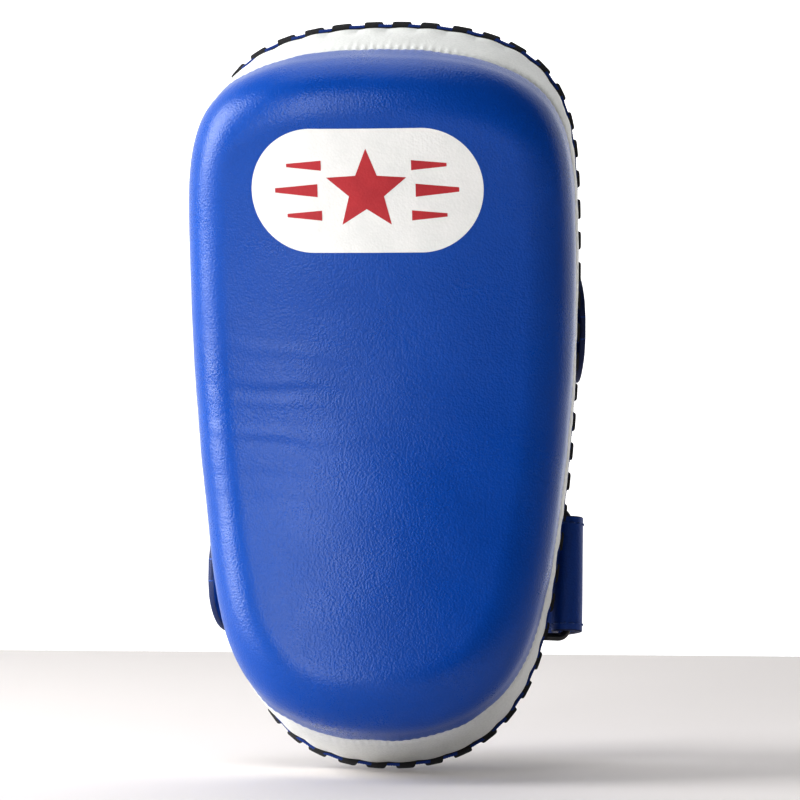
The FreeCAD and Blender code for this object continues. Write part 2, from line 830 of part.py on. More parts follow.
def both_sides(shapes):
    """The shapes on the handle's right side and their mirror images on its left."""
    placed = []
    for shape in shapes:
        placed.append(at_place(shape, handle_place))
        placed.append(at_place(shape, handle_place, True))
    return Part.makeCompound(placed)


# ---- all pieces ----

def make_nodes():
    nodes = {}
    nodes["front_cover"] = make_front_cover()
    nodes["side_gusset"] = make_side_gusset()
    nodes["back_panel"] = make_back_panel()
    nodes["edge_binding"] = make_edge_binding()
    nodes["edge_lace"] = make_edge_lace()
    nodes["strike_foam"] = make_strike_foam()
    nodes["core_foam"] = make_core_foam()
    nodes["backer_foam"] = make_backer_foam()
    nodes["cushion_cover"] = make_cushion_cover()
    nodes["cushion_foam"] = make_cushion_foam()
    strap_pieces = {
        "strap_span": make_strap_span(),
        "anchor_patch": make_anchor_patch(),
        "loop_patch": make_loop_patch(),
        "ring_keeper": make_ring_keeper(),
        "keeper_patch": make_keeper_patch(),
        "ring": make_ring(),
        "strap_tongue": make_strap_tongue(),
        "hook_patch": make_hook_patch(),
    }
    for name, shape in strap_pieces.items():
        nodes["lower_" + name] = at_place(shape, lower_strap_place)
        nodes["upper_" + name] = at_place(shape, upper_strap_place, True)
    nodes["anchor_rivets"] = both_straps_rivets("anchor")
    nodes["keeper_rivets"] = both_straps_rivets("keeper")
    nodes["handle_core"] = at_place(make_handle_core(), handle_place)
    nodes["handle_padding"] = at_place(make_handle_padding(), handle_place)
    nodes["handle_cover"] = at_place(make_handle_cover(), handle_place)
    sided = {"handle_tab": make_handle_tab(), "handle_ear": make_handle_ear()}
    sided["handle_patch"] = make_handle_patch()
    for name, shape in sided.items():
        nodes[name + "_right"] = at_place(shape, handle_place)
        nodes[name + "_left"] = at_place(shape, handle_place, True)
    nodes["handle_pivot_rivets"] = both_sides([make_pivot_rivet()])
    nodes["handle_patch_rivets"] = both_sides(make_patch_rivets())
    return nodes


def main():
    nodes = make_nodes()
    boxes = [shape.optimalBoundingBox(False, False) for shape in nodes.values()]
    low_y = min(box.YMin for box in boxes)
    high_y = max(box.YMax for box in boxes)
    low_z = min(box.ZMin for box in boxes)
    home = vec(0, -(low_y + high_y) / 2, -low_z)
    os.makedirs("parts", exist_ok=True)
    for name, shape in nodes.items():
        shape.translate(home)
        shape.exportStep("parts/" + name + ".step")
    print("moved by", round(home.y, 4), round(home.z, 4))


main()
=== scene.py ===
import math

import bmesh
import bpy
import numpy as np
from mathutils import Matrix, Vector

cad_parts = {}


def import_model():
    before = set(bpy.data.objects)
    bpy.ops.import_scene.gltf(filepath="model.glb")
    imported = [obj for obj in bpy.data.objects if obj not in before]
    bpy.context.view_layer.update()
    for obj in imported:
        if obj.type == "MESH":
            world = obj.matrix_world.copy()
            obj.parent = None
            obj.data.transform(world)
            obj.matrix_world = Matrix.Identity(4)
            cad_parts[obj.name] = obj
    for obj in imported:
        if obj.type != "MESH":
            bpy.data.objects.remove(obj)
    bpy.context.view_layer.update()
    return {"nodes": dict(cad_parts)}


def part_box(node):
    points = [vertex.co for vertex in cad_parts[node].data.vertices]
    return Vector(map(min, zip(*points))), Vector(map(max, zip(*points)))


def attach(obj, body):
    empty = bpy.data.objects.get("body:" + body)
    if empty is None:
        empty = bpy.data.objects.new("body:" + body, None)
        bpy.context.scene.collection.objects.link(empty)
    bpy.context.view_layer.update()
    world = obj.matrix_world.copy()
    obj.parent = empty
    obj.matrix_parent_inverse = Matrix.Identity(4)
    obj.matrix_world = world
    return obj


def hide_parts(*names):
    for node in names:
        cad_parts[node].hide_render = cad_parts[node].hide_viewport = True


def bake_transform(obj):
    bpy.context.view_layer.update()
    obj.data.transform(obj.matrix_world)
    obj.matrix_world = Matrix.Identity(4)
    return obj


# Curved forearm strike pad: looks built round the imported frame. Metres in Blender;
# shapes are worked out in millimetres on the bent back panel and carried over by world().

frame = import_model()

MM = 0.001
SEED = 7

# ---- sizes shared with the frame, in millimetres ----
PAD_LENGTH = 386.8
PAD_HALF_WIDTH = 98.5
FOOT_HALF_WIDTH = 82.5
TAPER_MIDDLE = -60.0
TAPER_RUN = 78.0
TOP_SQUARENESS = 8.0
BOTTOM_SQUARENESS = 5.0
CORNER_FULLNESS = 2.25
BEND_RADIUS = 584.0
PAD_THICKNESS = 92.0
FACE_CROWN = 10.0
FACE_EDGE = 27.0
SEAM_DEPTH = 48.0
BACK_NARROWING = 0.97
BACK_INSET = 0.8
LACE_WRAPS = 64
SEAM_STITCHES = 236
CROWN_RADIUS = (PAD_HALF_WIDTH ** 2 + FACE_CROWN ** 2) / (2 * FACE_CROWN)
STRAP_LEATHER = 3.0
STRAP_WIDTH = 60.0
TAPE_WIDTH = 50.0
TAPE = 1.7
STRAP_SETBACK = 13.0
STRAP_CLEARANCE = 62.0
ARCH_HALF = PAD_HALF_WIDTH - STRAP_SETBACK
ARCH_SPRING = 16.0
ARCH_RISE = STRAP_CLEARANCE + STRAP_LEATHER / 2 - ARCH_SPRING
LAYER_GAP = 0.1
SEAT_GAP = 0.2
TAPE_GAP = 0.3
LOOP_MIDDLE = STRAP_LEATHER / 2 + LAYER_GAP + TAPE / 2
HOOK_MIDDLE = LOOP_MIDDLE + TAPE + TAPE_GAP
TONGUE_MIDDLE = HOOK_MIDDLE + TAPE / 2 + LAYER_GAP + STRAP_LEATHER / 2
FOLD_INNER = 5.0
FOLD_RADIUS = FOLD_INNER + STRAP_LEATHER / 2
FOLD_STITCH_ROOM = 14.0  # above the fold, kept free of stitches for the ring
FOLD_X = ARCH_HALF + TONGUE_MIDDLE / 2
FOLD_H = ARCH_SPRING
TONGUE_START = 22.0
TONGUE_CORNER = 24.0
TONGUE_FLARE = 5.0
TONGUE_TIP_H = 4.0
TAPE_FROM = 42.0
TAPE_TO = 150.0
PATCH_LOW = 0.3
PATCH_LEATHER = 2.5
PATCH_LENGTH = 22.0
PATCH_MARGIN = 3.0
FOOT_H = PATCH_LOW + PATCH_LEATHER + SEAT_GAP + STRAP_LEATHER / 2
RING_WIRE = 4.0
RING_SIDE_ROOM = 1.0
RING_CORNER = 5.0
BAR_ROOM = 0.3
KEEPER_RADIUS = RING_WIRE / 2 + BAR_ROOM + STRAP_LEATHER / 2
BAR_X = PAD_HALF_WIDTH - 28.5
BAR_H = FOOT_H + KEEPER_RADIUS
KEEPER_WIDTH = 54.0
KEEPER_LENGTH = 24.0
ANCHOR_X = PAD_HALF_WIDTH - 33.5
UPPER_STRAP = PAD_LENGTH * 0.0895
LOWER_STRAP = PAD_LENGTH * -0.2363
CUSHION_WIDTH = 80.0
CUSHION_LENGTH = 230.0
CUSHION_MIDDLE = -28.0
HANDLE = PAD_LENGTH * 0.3066
GRIP_LENGTH = 110.0
GRIP_DIAMETER = 30.0
GRIP_H = 42.0
PIVOT_H = 18.0
PIVOT_HEAD_SCALE = 10 / 9
TAB_LEATHER = 3.5
TAB_WIDTH = 30.0
EAR_WIDTH = 32.0
EAR_LEATHER = 3.0
EAR_LIFT = 0.6
EAR_TOP = EAR_LIFT + EAR_LEATHER
EAR_FOOT = 20.0
EAR_BEND = 5.0
SIDE_GAP = 0.3

panel_low, panel_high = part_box("back_panel")
BEND_Y = panel_high.y / MM - BEND_RADIUS
BEND_Z = (panel_low.z + panel_high.z) / 2 / MM


# ---- places on the bent pad ----

def world(x, along, depth):
    """Points from across, along the back and in from the back panel, in metres."""
    x, along, depth = np.broadcast_arrays(np.asarray(x, float), along, depth)
    angle = along / BEND_RADIUS
    radius = BEND_RADIUS - depth
    y = BEND_Y + radius * np.cos(angle)
    z = BEND_Z + radius * np.sin(angle)
    return np.stack([x, y, z], -1) * MM


def strap_world(points, along, mirrored=False):
    """Points (across, above the panel, along the strap's width) at a place on the back."""
    points = np.asarray(points, float)
    x = -points[..., 0] if mirrored else points[..., 0]
    angle = along / BEND_RADIUS
    radius = BEND_RADIUS + points[..., 1]
    y = BEND_Y + radius * math.cos(angle) - points[..., 2] * math.sin(angle)
    z = BEND_Z + radius * math.sin(angle) + points[..., 2] * math.cos(angle)
    return np.stack([x, y, z], -1) * MM


def side_distance(along):
    middle = (PAD_HALF_WIDTH + FOOT_HALF_WIDTH) / 2
    swing = (PAD_HALF_WIDTH - FOOT_HALF_WIDTH) / 2
    width = middle + swing * np.tanh((along - TAPER_MIDDLE) / TAPER_RUN)
    power = np.where(along > 0, TOP_SQUARENESS, BOTTOM_SQUARENESS)
    share = np.minimum(np.abs(along) / (PAD_LENGTH / 2), 1.0)
    return width * np.maximum(0.0, 1.0 - share ** power) ** (1.0 / CORNER_FULLNESS)


def even_loop(points, count):
    """A closed loop of points spaced evenly."""
    closed = np.vstack([points, points[:1]])
    travelled = np.concatenate([[0], np.cumsum(np.linalg.norm(np.diff(closed, axis=0), axis=1))])
    wanted = np.arange(count) * travelled[-1] / count
    return np.stack([np.interp(wanted, travelled, closed[:, i]) for i in range(closed.shape[1])], 1)


def inward(loop):
    """Unit normals that point into a loop which runs from the top down the right side."""
    run = np.roll(loop, -1, 0) - np.roll(loop, 1, 0)
    size = np.linalg.norm(run, axis=1, keepdims=True)
    return np.stack([run[:, 1], -run[:, 0]], 1) / size


def seam_loop(count, narrow=1.0, inset=0.0):
    """Outline of the pad, from the top centre down the right side and up the left."""
    steps = np.arange(4001) / 4000 * math.pi
    along = PAD_LENGTH / 2 * np.cos(steps)
    right = np.stack([side_distance(along), along], 1)
    left = right[-2:0:-1] * [-1, 1]
    loop = even_loop(np.vstack([right, left]), count) * [narrow, 1]
    return loop + inward(loop) * inset


def back_loop(count, inset=0.0):
    loop = seam_loop(count, BACK_NARROWING)
    return loop + inward(loop) * (BACK_INSET + inset)


def face_depth(x, under=0.0):
    """Depth of the crowned striking face, or of a surface an even distance under it."""
    return PAD_THICKNESS - CROWN_RADIUS + np.sqrt((CROWN_RADIUS - under) ** 2 - np.asarray(x) ** 2)


def waves(points, wavelength, seed, count=14):
    """Smooth seeded unevenness of about -1 to 1 over points in space."""
    rng = np.random.default_rng(seed)
    total = np.zeros(points.shape[:-1])
    for _ in range(count):
        direction = rng.normal(size=points.shape[-1])
        direction *= 2 * math.pi / (wavelength * rng.uniform(0.7, 1.5) * np.linalg.norm(direction))
        total += np.sin(points @ direction + rng.uniform(0, 2 * math.pi))
    return total / math.sqrt(count)


# ---- mesh helpers ----

def grid_faces(rows, columns, close_rows=False, close_columns=False):
    """Quads of a grid of points, row by row."""
    i = np.arange(rows if close_rows else rows - 1)
    j = np.arange(columns if close_columns else columns - 1)
    a, b = np.meshgrid(i, j, indexing="ij")
    a2, b2 = (a + 1) % rows, (b + 1) % columns
    quads = np.stack([a * columns + b, a * columns + b2, a2 * columns + b2, a2 * columns + b], -1)
    return quads.reshape(-1, 4)


class Build:
    """Collects points and faces of one mesh."""

    def __init__(self):
        self.points = []
        self.faces = []
        self.slots = []
        self.count = 0

    def add(self, points, faces, slot=0):
        points = np.asarray(points, float).reshape(-1, 3)
        for face in faces:
            self.faces.append([int(v) + self.count for v in face])
            self.slots.append(slot)
        self.points.append(points)
        self.count += len(points)

    def grid(self, points, close_rows=False, close_columns=False, slot=0):
        rows, columns = points.shape[:2]
        self.add(points, grid_faces(rows, columns, close_rows, close_columns), slot)

    def object(self, name, materials, merge=0.0, fix_normals=True):
        """The mesh as an object, smooth, with the materials in its slots."""
        mesh = bpy.data.meshes.new(name)
        mesh.from_pydata(np.vstack(self.points).tolist(), [], self.faces)
        mesh.polygons.foreach_set("material_index", self.slots)
        mesh.polygons.foreach_set("use_smooth", [True] * len(self.faces))
        bm = bmesh.new()
        bm.from_mesh(mesh)
        if merge:
            bmesh.ops.remove_doubles(bm, verts=bm.verts, dist=merge)
        if fix_normals:
            bmesh.ops.recalc_face_normals(bm, faces=bm.faces)
        bm.to_mesh(mesh)
        bm.free()
        obj = bpy.data.objects.new(name, mesh)
        bpy.context.scene.collection.objects.link(obj)
        for material in materials:
            mesh.materials.append(material)
        return obj


def grid_normals(points, close_rows=False, close_columns=False):
    """Unit normals of a grid of points."""
    def slope(axis, closed):
        if closed:
            return np.roll(points, -1, axis) - np.roll(points, 1, axis)
        return np.gradient(points, axis=axis)
    normal = np.cross(slope(0, close_rows), slope(1, close_columns))
    return normal / np.maximum(np.linalg.norm(normal, axis=-1, keepdims=True), 1e-12)


CLOTH_STEP = 4
CLOTH_FRAMES = 20


def puff(points, pinned, close_columns, slack):
    """How far a sewn-down leather skin puffs out, in millimetres, from a cloth run."""
    build = Build()
    build.grid(points, close_columns=close_columns)
    obj = build.object("cloth_run", [])
    group = obj.vertex_groups.new(name="sewn")
    group.add(np.flatnonzero(pinned.reshape(-1)).tolist(), 1.0, "REPLACE")
    settings = obj.modifiers.new("cloth", "CLOTH").settings
    settings.vertex_group_mass = "sewn"
    settings.quality = 5
    settings.mass = 0.2
    settings.tension_stiffness = settings.compression_stiffness = settings.shear_stiffness = 12.0
    settings.bending_stiffness = 0.3
    settings.use_pressure = True
    settings.uniform_pressure_force = 4.0
    settings.shrink_min = -0.01 * slack
    settings.effector_weights.gravity = 0.0
    scene = bpy.context.scene
    for frame_number in range(1, CLOTH_FRAMES + 1):
        scene.frame_set(frame_number)
    done = obj.evaluated_get(bpy.context.evaluated_depsgraph_get())
    moved = np.empty(len(obj.data.vertices) * 3)
    done.data.vertices.foreach_get("co", moved)
    mesh = obj.data
    bpy.data.objects.remove(obj)
    bpy.data.meshes.remove(mesh)
    scene.frame_set(1)
    normal = grid_normals(points, close_columns=close_columns)
    shift = np.sum((moved.reshape(points.shape) - points) * normal, -1) / MM
    if np.mean(shift) < 0:
        shift = -shift
    return np.clip(shift, -0.4, 1.2)


def finer(values, rows, columns):
    """Values of a coarse grid read off at finer rows and columns."""
    count = values.shape[1]
    table = np.column_stack([values, values[:, :1]])
    wide = np.stack([np.interp(columns, np.arange(count + 1), row) for row in table])
    return np.stack([np.interp(rows, np.arange(len(wide)), wide[:, i]) for i in range(len(columns))], 1)


def along_path(path, step):
    """Points along a path at even steps, and how far along each one is."""
    path = np.asarray(path, float)
    travelled = np.concatenate([[0], np.cumsum(np.linalg.norm(np.diff(path, axis=0), axis=1))])
    count = max(2, int(round(travelled[-1] / step)) + 1)
    wanted = np.linspace(0, travelled[-1], count)
    points = np.stack([np.interp(wanted, travelled, path[:, i]) for i in range(path.shape[1])], 1)
    return points, wanted


def unit_rows(vectors):
    return vectors / np.maximum(np.linalg.norm(vectors, axis=-1, keepdims=True), 1e-12)


def sweep_tube(build, path, radius, sides=10, closed=False, slot=0):
    """Round tube along points in metres; radius may be one number or one per point."""
    path = np.asarray(path, float)
    count = len(path)
    if closed:
        tangent = unit_rows(np.roll(path, -1, 0) - np.roll(path, 1, 0))
    else:
        tangent = unit_rows(np.gradient(path, axis=0))
    guide = np.array([0.3, 0.5, 0.81])
    frame_a = np.zeros_like(path)
    last = unit_rows(np.cross(tangent[0], guide))
    for index in range(count):
        last = unit_rows(last - tangent[index] * (last @ tangent[index]))
        frame_a[index] = last
    frame_b = np.cross(tangent, frame_a)
    turn = np.arange(sides) / sides * 2 * math.pi
    size = np.broadcast_to(np.asarray(radius, float), (count,))[:, None, None]
    ring = np.cos(turn)[None, :, None] * frame_a[:, None] + np.sin(turn)[None, :, None] * frame_b[:, None]
    points = path[:, None] + ring * size
    build.grid(points, close_rows=closed, close_columns=True, slot=slot)
    if not closed:
        base = build.count - count * sides
        build.faces.append([base + i for i in range(sides)][::-1])
        build.faces.append([base + (count - 1) * sides + i for i in range(sides)])
        build.slots += [slot, slot]


def stitch_row(build, path, normal, length=3.2, gap=1.0, radius=0.42, sink=0.15, slot=0, closed=False):
    """Thread stitches along points in metres, each one rising out of its hole and back."""
    path = np.asarray(path, float)
    normal = np.broadcast_to(np.asarray(normal, float), path.shape)
    if closed:
        path = np.vstack([path, path[:1]])
        normal = np.vstack([normal, normal[:1]])
    travelled = np.concatenate([[0], np.cumsum(np.linalg.norm(np.diff(path, axis=0), axis=1))]) / MM
    count = max(1, int(travelled[-1] // (length + gap)))
    pitch = travelled[-1] / count
    lift = np.array([-1.0, 0.2, 0.75, 0.95, 0.75, 0.2, -1.0])
    swell = np.array([0.45, 0.85, 1.0, 1.0, 1.0, 0.85, 0.45])
    share = np.array([0.0, 0.07, 0.25, 0.5, 0.75, 0.93, 1.0])
    for index in range(count):
        places = (index + 0.5) * pitch + (share - 0.5) * (pitch - gap)
        points = np.stack([np.interp(places, travelled, path[:, i]) for i in range(3)], 1)
        out = unit_rows(np.stack([np.interp(places, travelled, normal[:, i]) for i in range(3)], 1))
        points = points + out * ((lift * radius - sink * 0.5) * MM)[:, None]
        sweep_tube(build, points, swell * radius * MM, sides=6, slot=slot)


# ---- materials ----

class Nodes:
    """Short names for making one material's nodes."""

    def __init__(self, name):
        self.material = bpy.data.materials.new(name)
        self.material.use_nodes = True
        self.tree = self.material.node_tree
        self.shader = self.tree.nodes["Principled BSDF"]
        self.place = self.make("ShaderNodeTexCoord").outputs["Object"]

    def make(self, kind, **settings):
        node = self.tree.nodes.new(kind)
        for key, value in settings.items():
            setattr(node, key, value)
        return node

    def link(self, output, target):
        self.tree.links.new(output, target)

    def scaled(self, x, y, z):
        node = self.make("ShaderNodeMapping")
        node.inputs["Scale"].default_value = (x, y, z)
        self.link(self.place, node.inputs["Vector"])
        return node.outputs["Vector"]

    def noise(self, scale, detail=3.0, rough=0.55, vector=None, distortion=0.0):
        node = self.make("ShaderNodeTexNoise")
        node.inputs["Scale"].default_value = scale
        node.inputs["Detail"].default_value = detail
        node.inputs["Roughness"].default_value = rough
        node.inputs["Distortion"].default_value = distortion
        self.link(vector or self.place, node.inputs["Vector"])
        return node.outputs["Fac"]

    def cells(self, scale, feature="F1", smooth=0.3):
        node = self.make("ShaderNodeTexVoronoi", feature=feature)
        node.inputs["Scale"].default_value = scale
        if feature == "SMOOTH_F1":
            node.inputs["Smoothness"].default_value = smooth
        self.link(self.place, node.inputs["Vector"])
        return node.outputs["Distance"]

    def wave(self, scale, direction="X", distortion=0.0, detail=2.0, vector=None):
        node = self.make("ShaderNodeTexWave", bands_direction=direction)
        node.inputs["Scale"].default_value = scale
        node.inputs["Distortion"].default_value = distortion
        node.inputs["Detail"].default_value = detail
        self.link(vector or self.place, node.inputs["Vector"])
        return node.outputs["Fac"]

    def math(self, operation, a, b=None):
        node = self.make("ShaderNodeMath", operation=operation)
        for socket, value in zip(node.inputs, (a, b)):
            if value is None:
                continue
            if isinstance(value, (int, float)):
                socket.default_value = value
            else:
                self.link(value, socket)
        return node.outputs[0]

    def spread(self, value, low, high, to_low, to_high):
        node = self.make("ShaderNodeMapRange")
        for key, number in zip(("From Min", "From Max", "To Min", "To Max"), (low, high, to_low, to_high)):
            node.inputs[key].default_value = number
        self.link(value, node.inputs["Value"])
        return node.outputs["Result"]

    def blend(self, factor, first, second):
        node = self.make("ShaderNodeMix", data_type="RGBA")
        self.link(factor, node.inputs["Factor"])
        for socket, colour in zip((node.inputs[6], node.inputs[7]), (first, second)):
            if isinstance(colour, tuple):
                socket.default_value = (*colour, 1.0)
            else:
                self.link(colour, socket)
        return node.outputs[2]

    def bumps(self, layers):
        """Bump layers of (height, depth in millimetres), the largest first."""
        last = None
        for height, depth in layers:
            node = self.make("ShaderNodeBump")
            node.inputs["Strength"].default_value = 1.0
            node.inputs["Distance"].default_value = depth * MM
            self.link(height, node.inputs["Height"])
            if last:
                self.link(last, node.inputs["Normal"])
            last = node.outputs["Normal"]
        self.link(last, self.shader.inputs["Normal"])

    def set(self, **values):
        for key, value in values.items():
            self.shader.inputs[key.replace("_", " ")].default_value = value


def leather(name, colour, shade, rough=(0.36, 0.52), grain=850.0, depth=0.12, crease=0.3, specular=0.5):
    """Pebbled, lightly worn leather, with painted shade in the grooves between the pebbles."""
    n = Nodes(name)
    broad = n.noise(9.0, 4.0, 0.6)
    tint = n.blend(n.spread(broad, 0.3, 0.7, 0.0, 1.0), colour, shade)
    pebble = n.cells(grain, "SMOOTH_F1", smooth=0.4)
    # painted shade: where the bump sinks between pebbles, the colour is mixed towards a darker copy of the
    # shade tone
    groove_shade = n.spread(pebble, 0.25, 0.75, 0.0, 0.22)
    dark = tuple(c * 0.72 for c in shade)
    n.link(n.blend(groove_shade, tint, dark), n.shader.inputs["Base Color"])
    fine = n.noise(grain * 2.4, 2.0, 0.6)
    patchy = n.noise(24.0, 5.0, 0.62)
    n.link(n.spread(n.math("ADD", patchy, n.math("MULTIPLY", pebble, 0.25)), 0.4, 0.85, rough[0], rough[1]),
           n.shader.inputs["Roughness"])
    lines = n.noise(60.0, 6.0, 0.68, distortion=0.9)
    n.bumps([(lines, crease), (n.math("SUBTRACT", 1.0, pebble), depth), (fine, depth * 0.3)])
    n.set(Specular_IOR_Level=specular)
    return n.material


def ribbed_tape(name, colour, dark):
    """Close-woven binding tape; its ribs are in the mesh, its threads here."""
    n = Nodes(name)
    thread = n.noise(2600.0, 2.0, 0.7)
    worn = n.noise(40.0, 4.0, 0.6)
    fibres = n.blend(n.spread(thread, 0.3, 0.7, 0.0, 1.0), colour, dark)
    rubbed = tuple(c * 1.6 + 0.02 for c in colour)
    n.link(n.blend(n.spread(worn, 0.55, 0.8, 0.0, 0.35), fibres, rubbed), n.shader.inputs["Base Color"])
    n.bumps([(thread, 0.12)])
    n.set(Roughness=0.78, Sheen_Weight=0.35, Sheen_Roughness=0.4)
    return n.material


def fuzzy_tape(name, colour, scale, depth):
    """Hook tape or loop tape."""
    n = Nodes(name)
    tuft = n.cells(scale, "F1")
    fibre = n.noise(scale * 2.3, 4.0, 0.75, distortion=1.4)
    light = tuple(c * 2.6 + 0.012 for c in colour)
    n.link(n.blend(n.spread(fibre, 0.4, 0.75, 0.0, 1.0), colour, light), n.shader.inputs["Base Color"])
    n.bumps([(n.math("SUBTRACT", 1.0, tuft), depth), (fibre, depth * 0.6)])
    n.set(Roughness=0.92, Sheen_Weight=0.5, Sheen_Roughness=0.5)
    return n.material


def thread_material(name, colour):
    n = Nodes(name)
    twist = n.wave(900.0, "DIAGONAL", 1.5)
    n.link(n.blend(twist, colour, tuple(c * 0.55 for c in colour)), n.shader.inputs["Base Color"])
    n.bumps([(twist, 0.08)])
    n.set(Roughness=0.6, Sheen_Weight=0.2)
    return n.material


def metal(name, colour, rough, scratch):
    """Plated wire or rivet metal with fine scratches."""
    n = Nodes(name)
    streak = n.noise(180.0, 5.0, 0.7, vector=n.scaled(1.0, 14.0, 1.0))
    spot = n.noise(70.0, 3.0, 0.6)
    n.link(n.blend(n.spread(spot, 0.4, 0.75, 0.0, 0.5), colour, tuple(c * 0.75 for c in colour)),
           n.shader.inputs["Base Color"])
    n.link(n.spread(streak, 0.3, 0.75, rough, rough + 0.2), n.shader.inputs["Roughness"])
    n.bumps([(streak, scratch)])
    n.set(Metallic=1.0)
    return n.material


def enamel(name, colour):
    """Black enamelled wire, slightly orange-peeled and rubbed."""
    n = Nodes(name)
    peel = n.noise(420.0, 2.0)
    rub = n.noise(55.0, 5.0, 0.7)
    n.link(n.blend(n.spread(rub, 0.6, 0.8, 0.0, 0.5), colour, (0.06, 0.06, 0.062)),
           n.shader.inputs["Base Color"])
    n.link(n.spread(rub, 0.3, 0.7, 0.22, 0.42), n.shader.inputs["Roughness"])
    n.bumps([(peel, 0.04)])
    n.set(Coat_Weight=0.3, Coat_Roughness=0.15)
    return n.material


def print_ink(name, colour, shade):
    """Thick printed ink that keeps a little of the leather's grain."""
    n = Nodes(name)
    pebble = n.cells(850.0, "SMOOTH_F1", smooth=0.4)
    broad = n.noise(45.0, 4.0, 0.6)
    n.link(n.blend(n.spread(broad, 0.35, 0.7, 0.0, 1.0), colour, shade), n.shader.inputs["Base Color"])
    n.link(n.spread(broad, 0.3, 0.7, 0.34, 0.46), n.shader.inputs["Roughness"])
    n.bumps([(n.math("SUBTRACT", 1.0, pebble), 0.07)])
    return n.material


def foam_material():
    n = Nodes("foam_sheet")
    pores = n.cells(700.0)
    n.link(n.blend(pores, (0.30, 0.30, 0.32), (0.16, 0.16, 0.18)), n.shader.inputs["Base Color"])
    n.bumps([(pores, 0.4)])
    n.set(Roughness=0.95)
    return n.material


def wood_material():
    n = Nodes("core_wood")
    rings = n.wave(420.0, "Y", 5.0, 3.0)
    pores = n.noise(500.0, 3.0, vector=n.scaled(0.08, 1.0, 1.0))
    n.link(n.blend(n.math("MULTIPLY", rings, pores), (0.58, 0.40, 0.22), (0.30, 0.18, 0.08)),
           n.shader.inputs["Base Color"])
    n.bumps([(rings, 0.1)])
    n.set(Roughness=0.62)
    return n.material


BLUE = (0.0010, 0.078, 0.42)
BLUE_SHADE = (0.0008, 0.064, 0.355)
face_blue = leather("face_leather_blue", BLUE, BLUE_SHADE, rough=(0.25, 0.34), grain=900.0, depth=0.10,
                    crease=0.12, specular=0.36)
gusset_white = leather("gusset_leather_white", (0.86, 0.87, 0.85), (0.74, 0.755, 0.73), rough=(0.42, 0.58),
                       grain=800.0, depth=0.09, crease=0.22)
panel_black = leather("panel_leather_black", (0.016, 0.017, 0.02), (0.009, 0.0095, 0.012),
                      rough=(0.42, 0.62), grain=620.0, depth=0.2)
cushion_black = leather("cushion_leather_black", (0.02, 0.021, 0.025), (0.011, 0.012, 0.015),
                        rough=(0.38, 0.58), grain=700.0, depth=0.16, crease=0.35)
lace_black = leather("lace_leather_black", (0.012, 0.012, 0.015), (0.006, 0.006, 0.009), rough=(0.4, 0.6),
                     grain=1500.0, depth=0.06, crease=0.2)
strap_blue = leather("strap_leather_blue", (0.0025, 0.060, 0.34), (0.002, 0.048, 0.28), rough=(0.40, 0.54),
                     grain=900.0, depth=0.1, crease=0.2)
strap_edge = leather("strap_cut_edge", (0.004, 0.02, 0.11), (0.003, 0.014, 0.08), rough=(0.5, 0.7),
                     grain=1800.0, depth=0.1)
black_edge = leather("black_cut_edge", (0.012, 0.012, 0.014), (0.007, 0.007, 0.009), rough=(0.55, 0.75),
                     grain=1800.0, depth=0.1)
binding_blue = ribbed_tape("binding_tape_blue", (0.006, 0.05, 0.30), (0.003, 0.025, 0.16))
loop_black = fuzzy_tape("loop_tape_black", (0.008, 0.008, 0.01), 1500.0, 0.5)
hook_black = fuzzy_tape("hook_tape_black", (0.01, 0.01, 0.012), 900.0, 0.35)
thread_blue = thread_material("thread_blue", (0.012, 0.085, 0.40))
thread_black = thread_material("thread_black", (0.02, 0.02, 0.024))
ring_enamel = enamel("ring_enamel_black", (0.012, 0.012, 0.014))
rivet_steel = metal("rivet_steel", (0.7, 0.7, 0.72), 0.22, 0.05)
ink_white = print_ink("badge_ink_white", (0.9, 0.9, 0.88), (0.82, 0.83, 0.81))
ink_red = print_ink("badge_ink_red", (0.52, 0.025, 0.035), (0.42, 0.015, 0.025))
foam_grey = foam_material()
wood = wood_material()


def settle(obj, body, slot, *nodes):
    """Ties a finished piece to its body and hides the nodes it stands for; slot is not used."""
    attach(obj, body)
    if nodes:
        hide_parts(*nodes)
    return obj


# ---- pad body ----

FACE_COLUMNS = SEAM_STITCHES * 5
ROUND_DEPTH = 72.0


def face_relief(points, x, along):
    """Unevenness of the stretched face leather, in millimetres."""
    low = waves(points / MM, 120.0, SEED) * 0.30
    middle = waves(points / MM, 42.0, SEED + 1) * 0.09
    band = np.exp(-((x + 50.0) / 38.0) ** 2 - ((along + 16.0) / 45.0) ** 2)
    lean = along + 0.12 * x + 2.4 * waves(points / MM, 55.0, SEED + 2)
    ripple = np.sin(lean * 2 * math.pi / 17.0) + 0.5 * np.sin(lean * 2 * math.pi / 10.5 + 1.0)
    return low + middle + band * ripple * 0.16 - 0.45


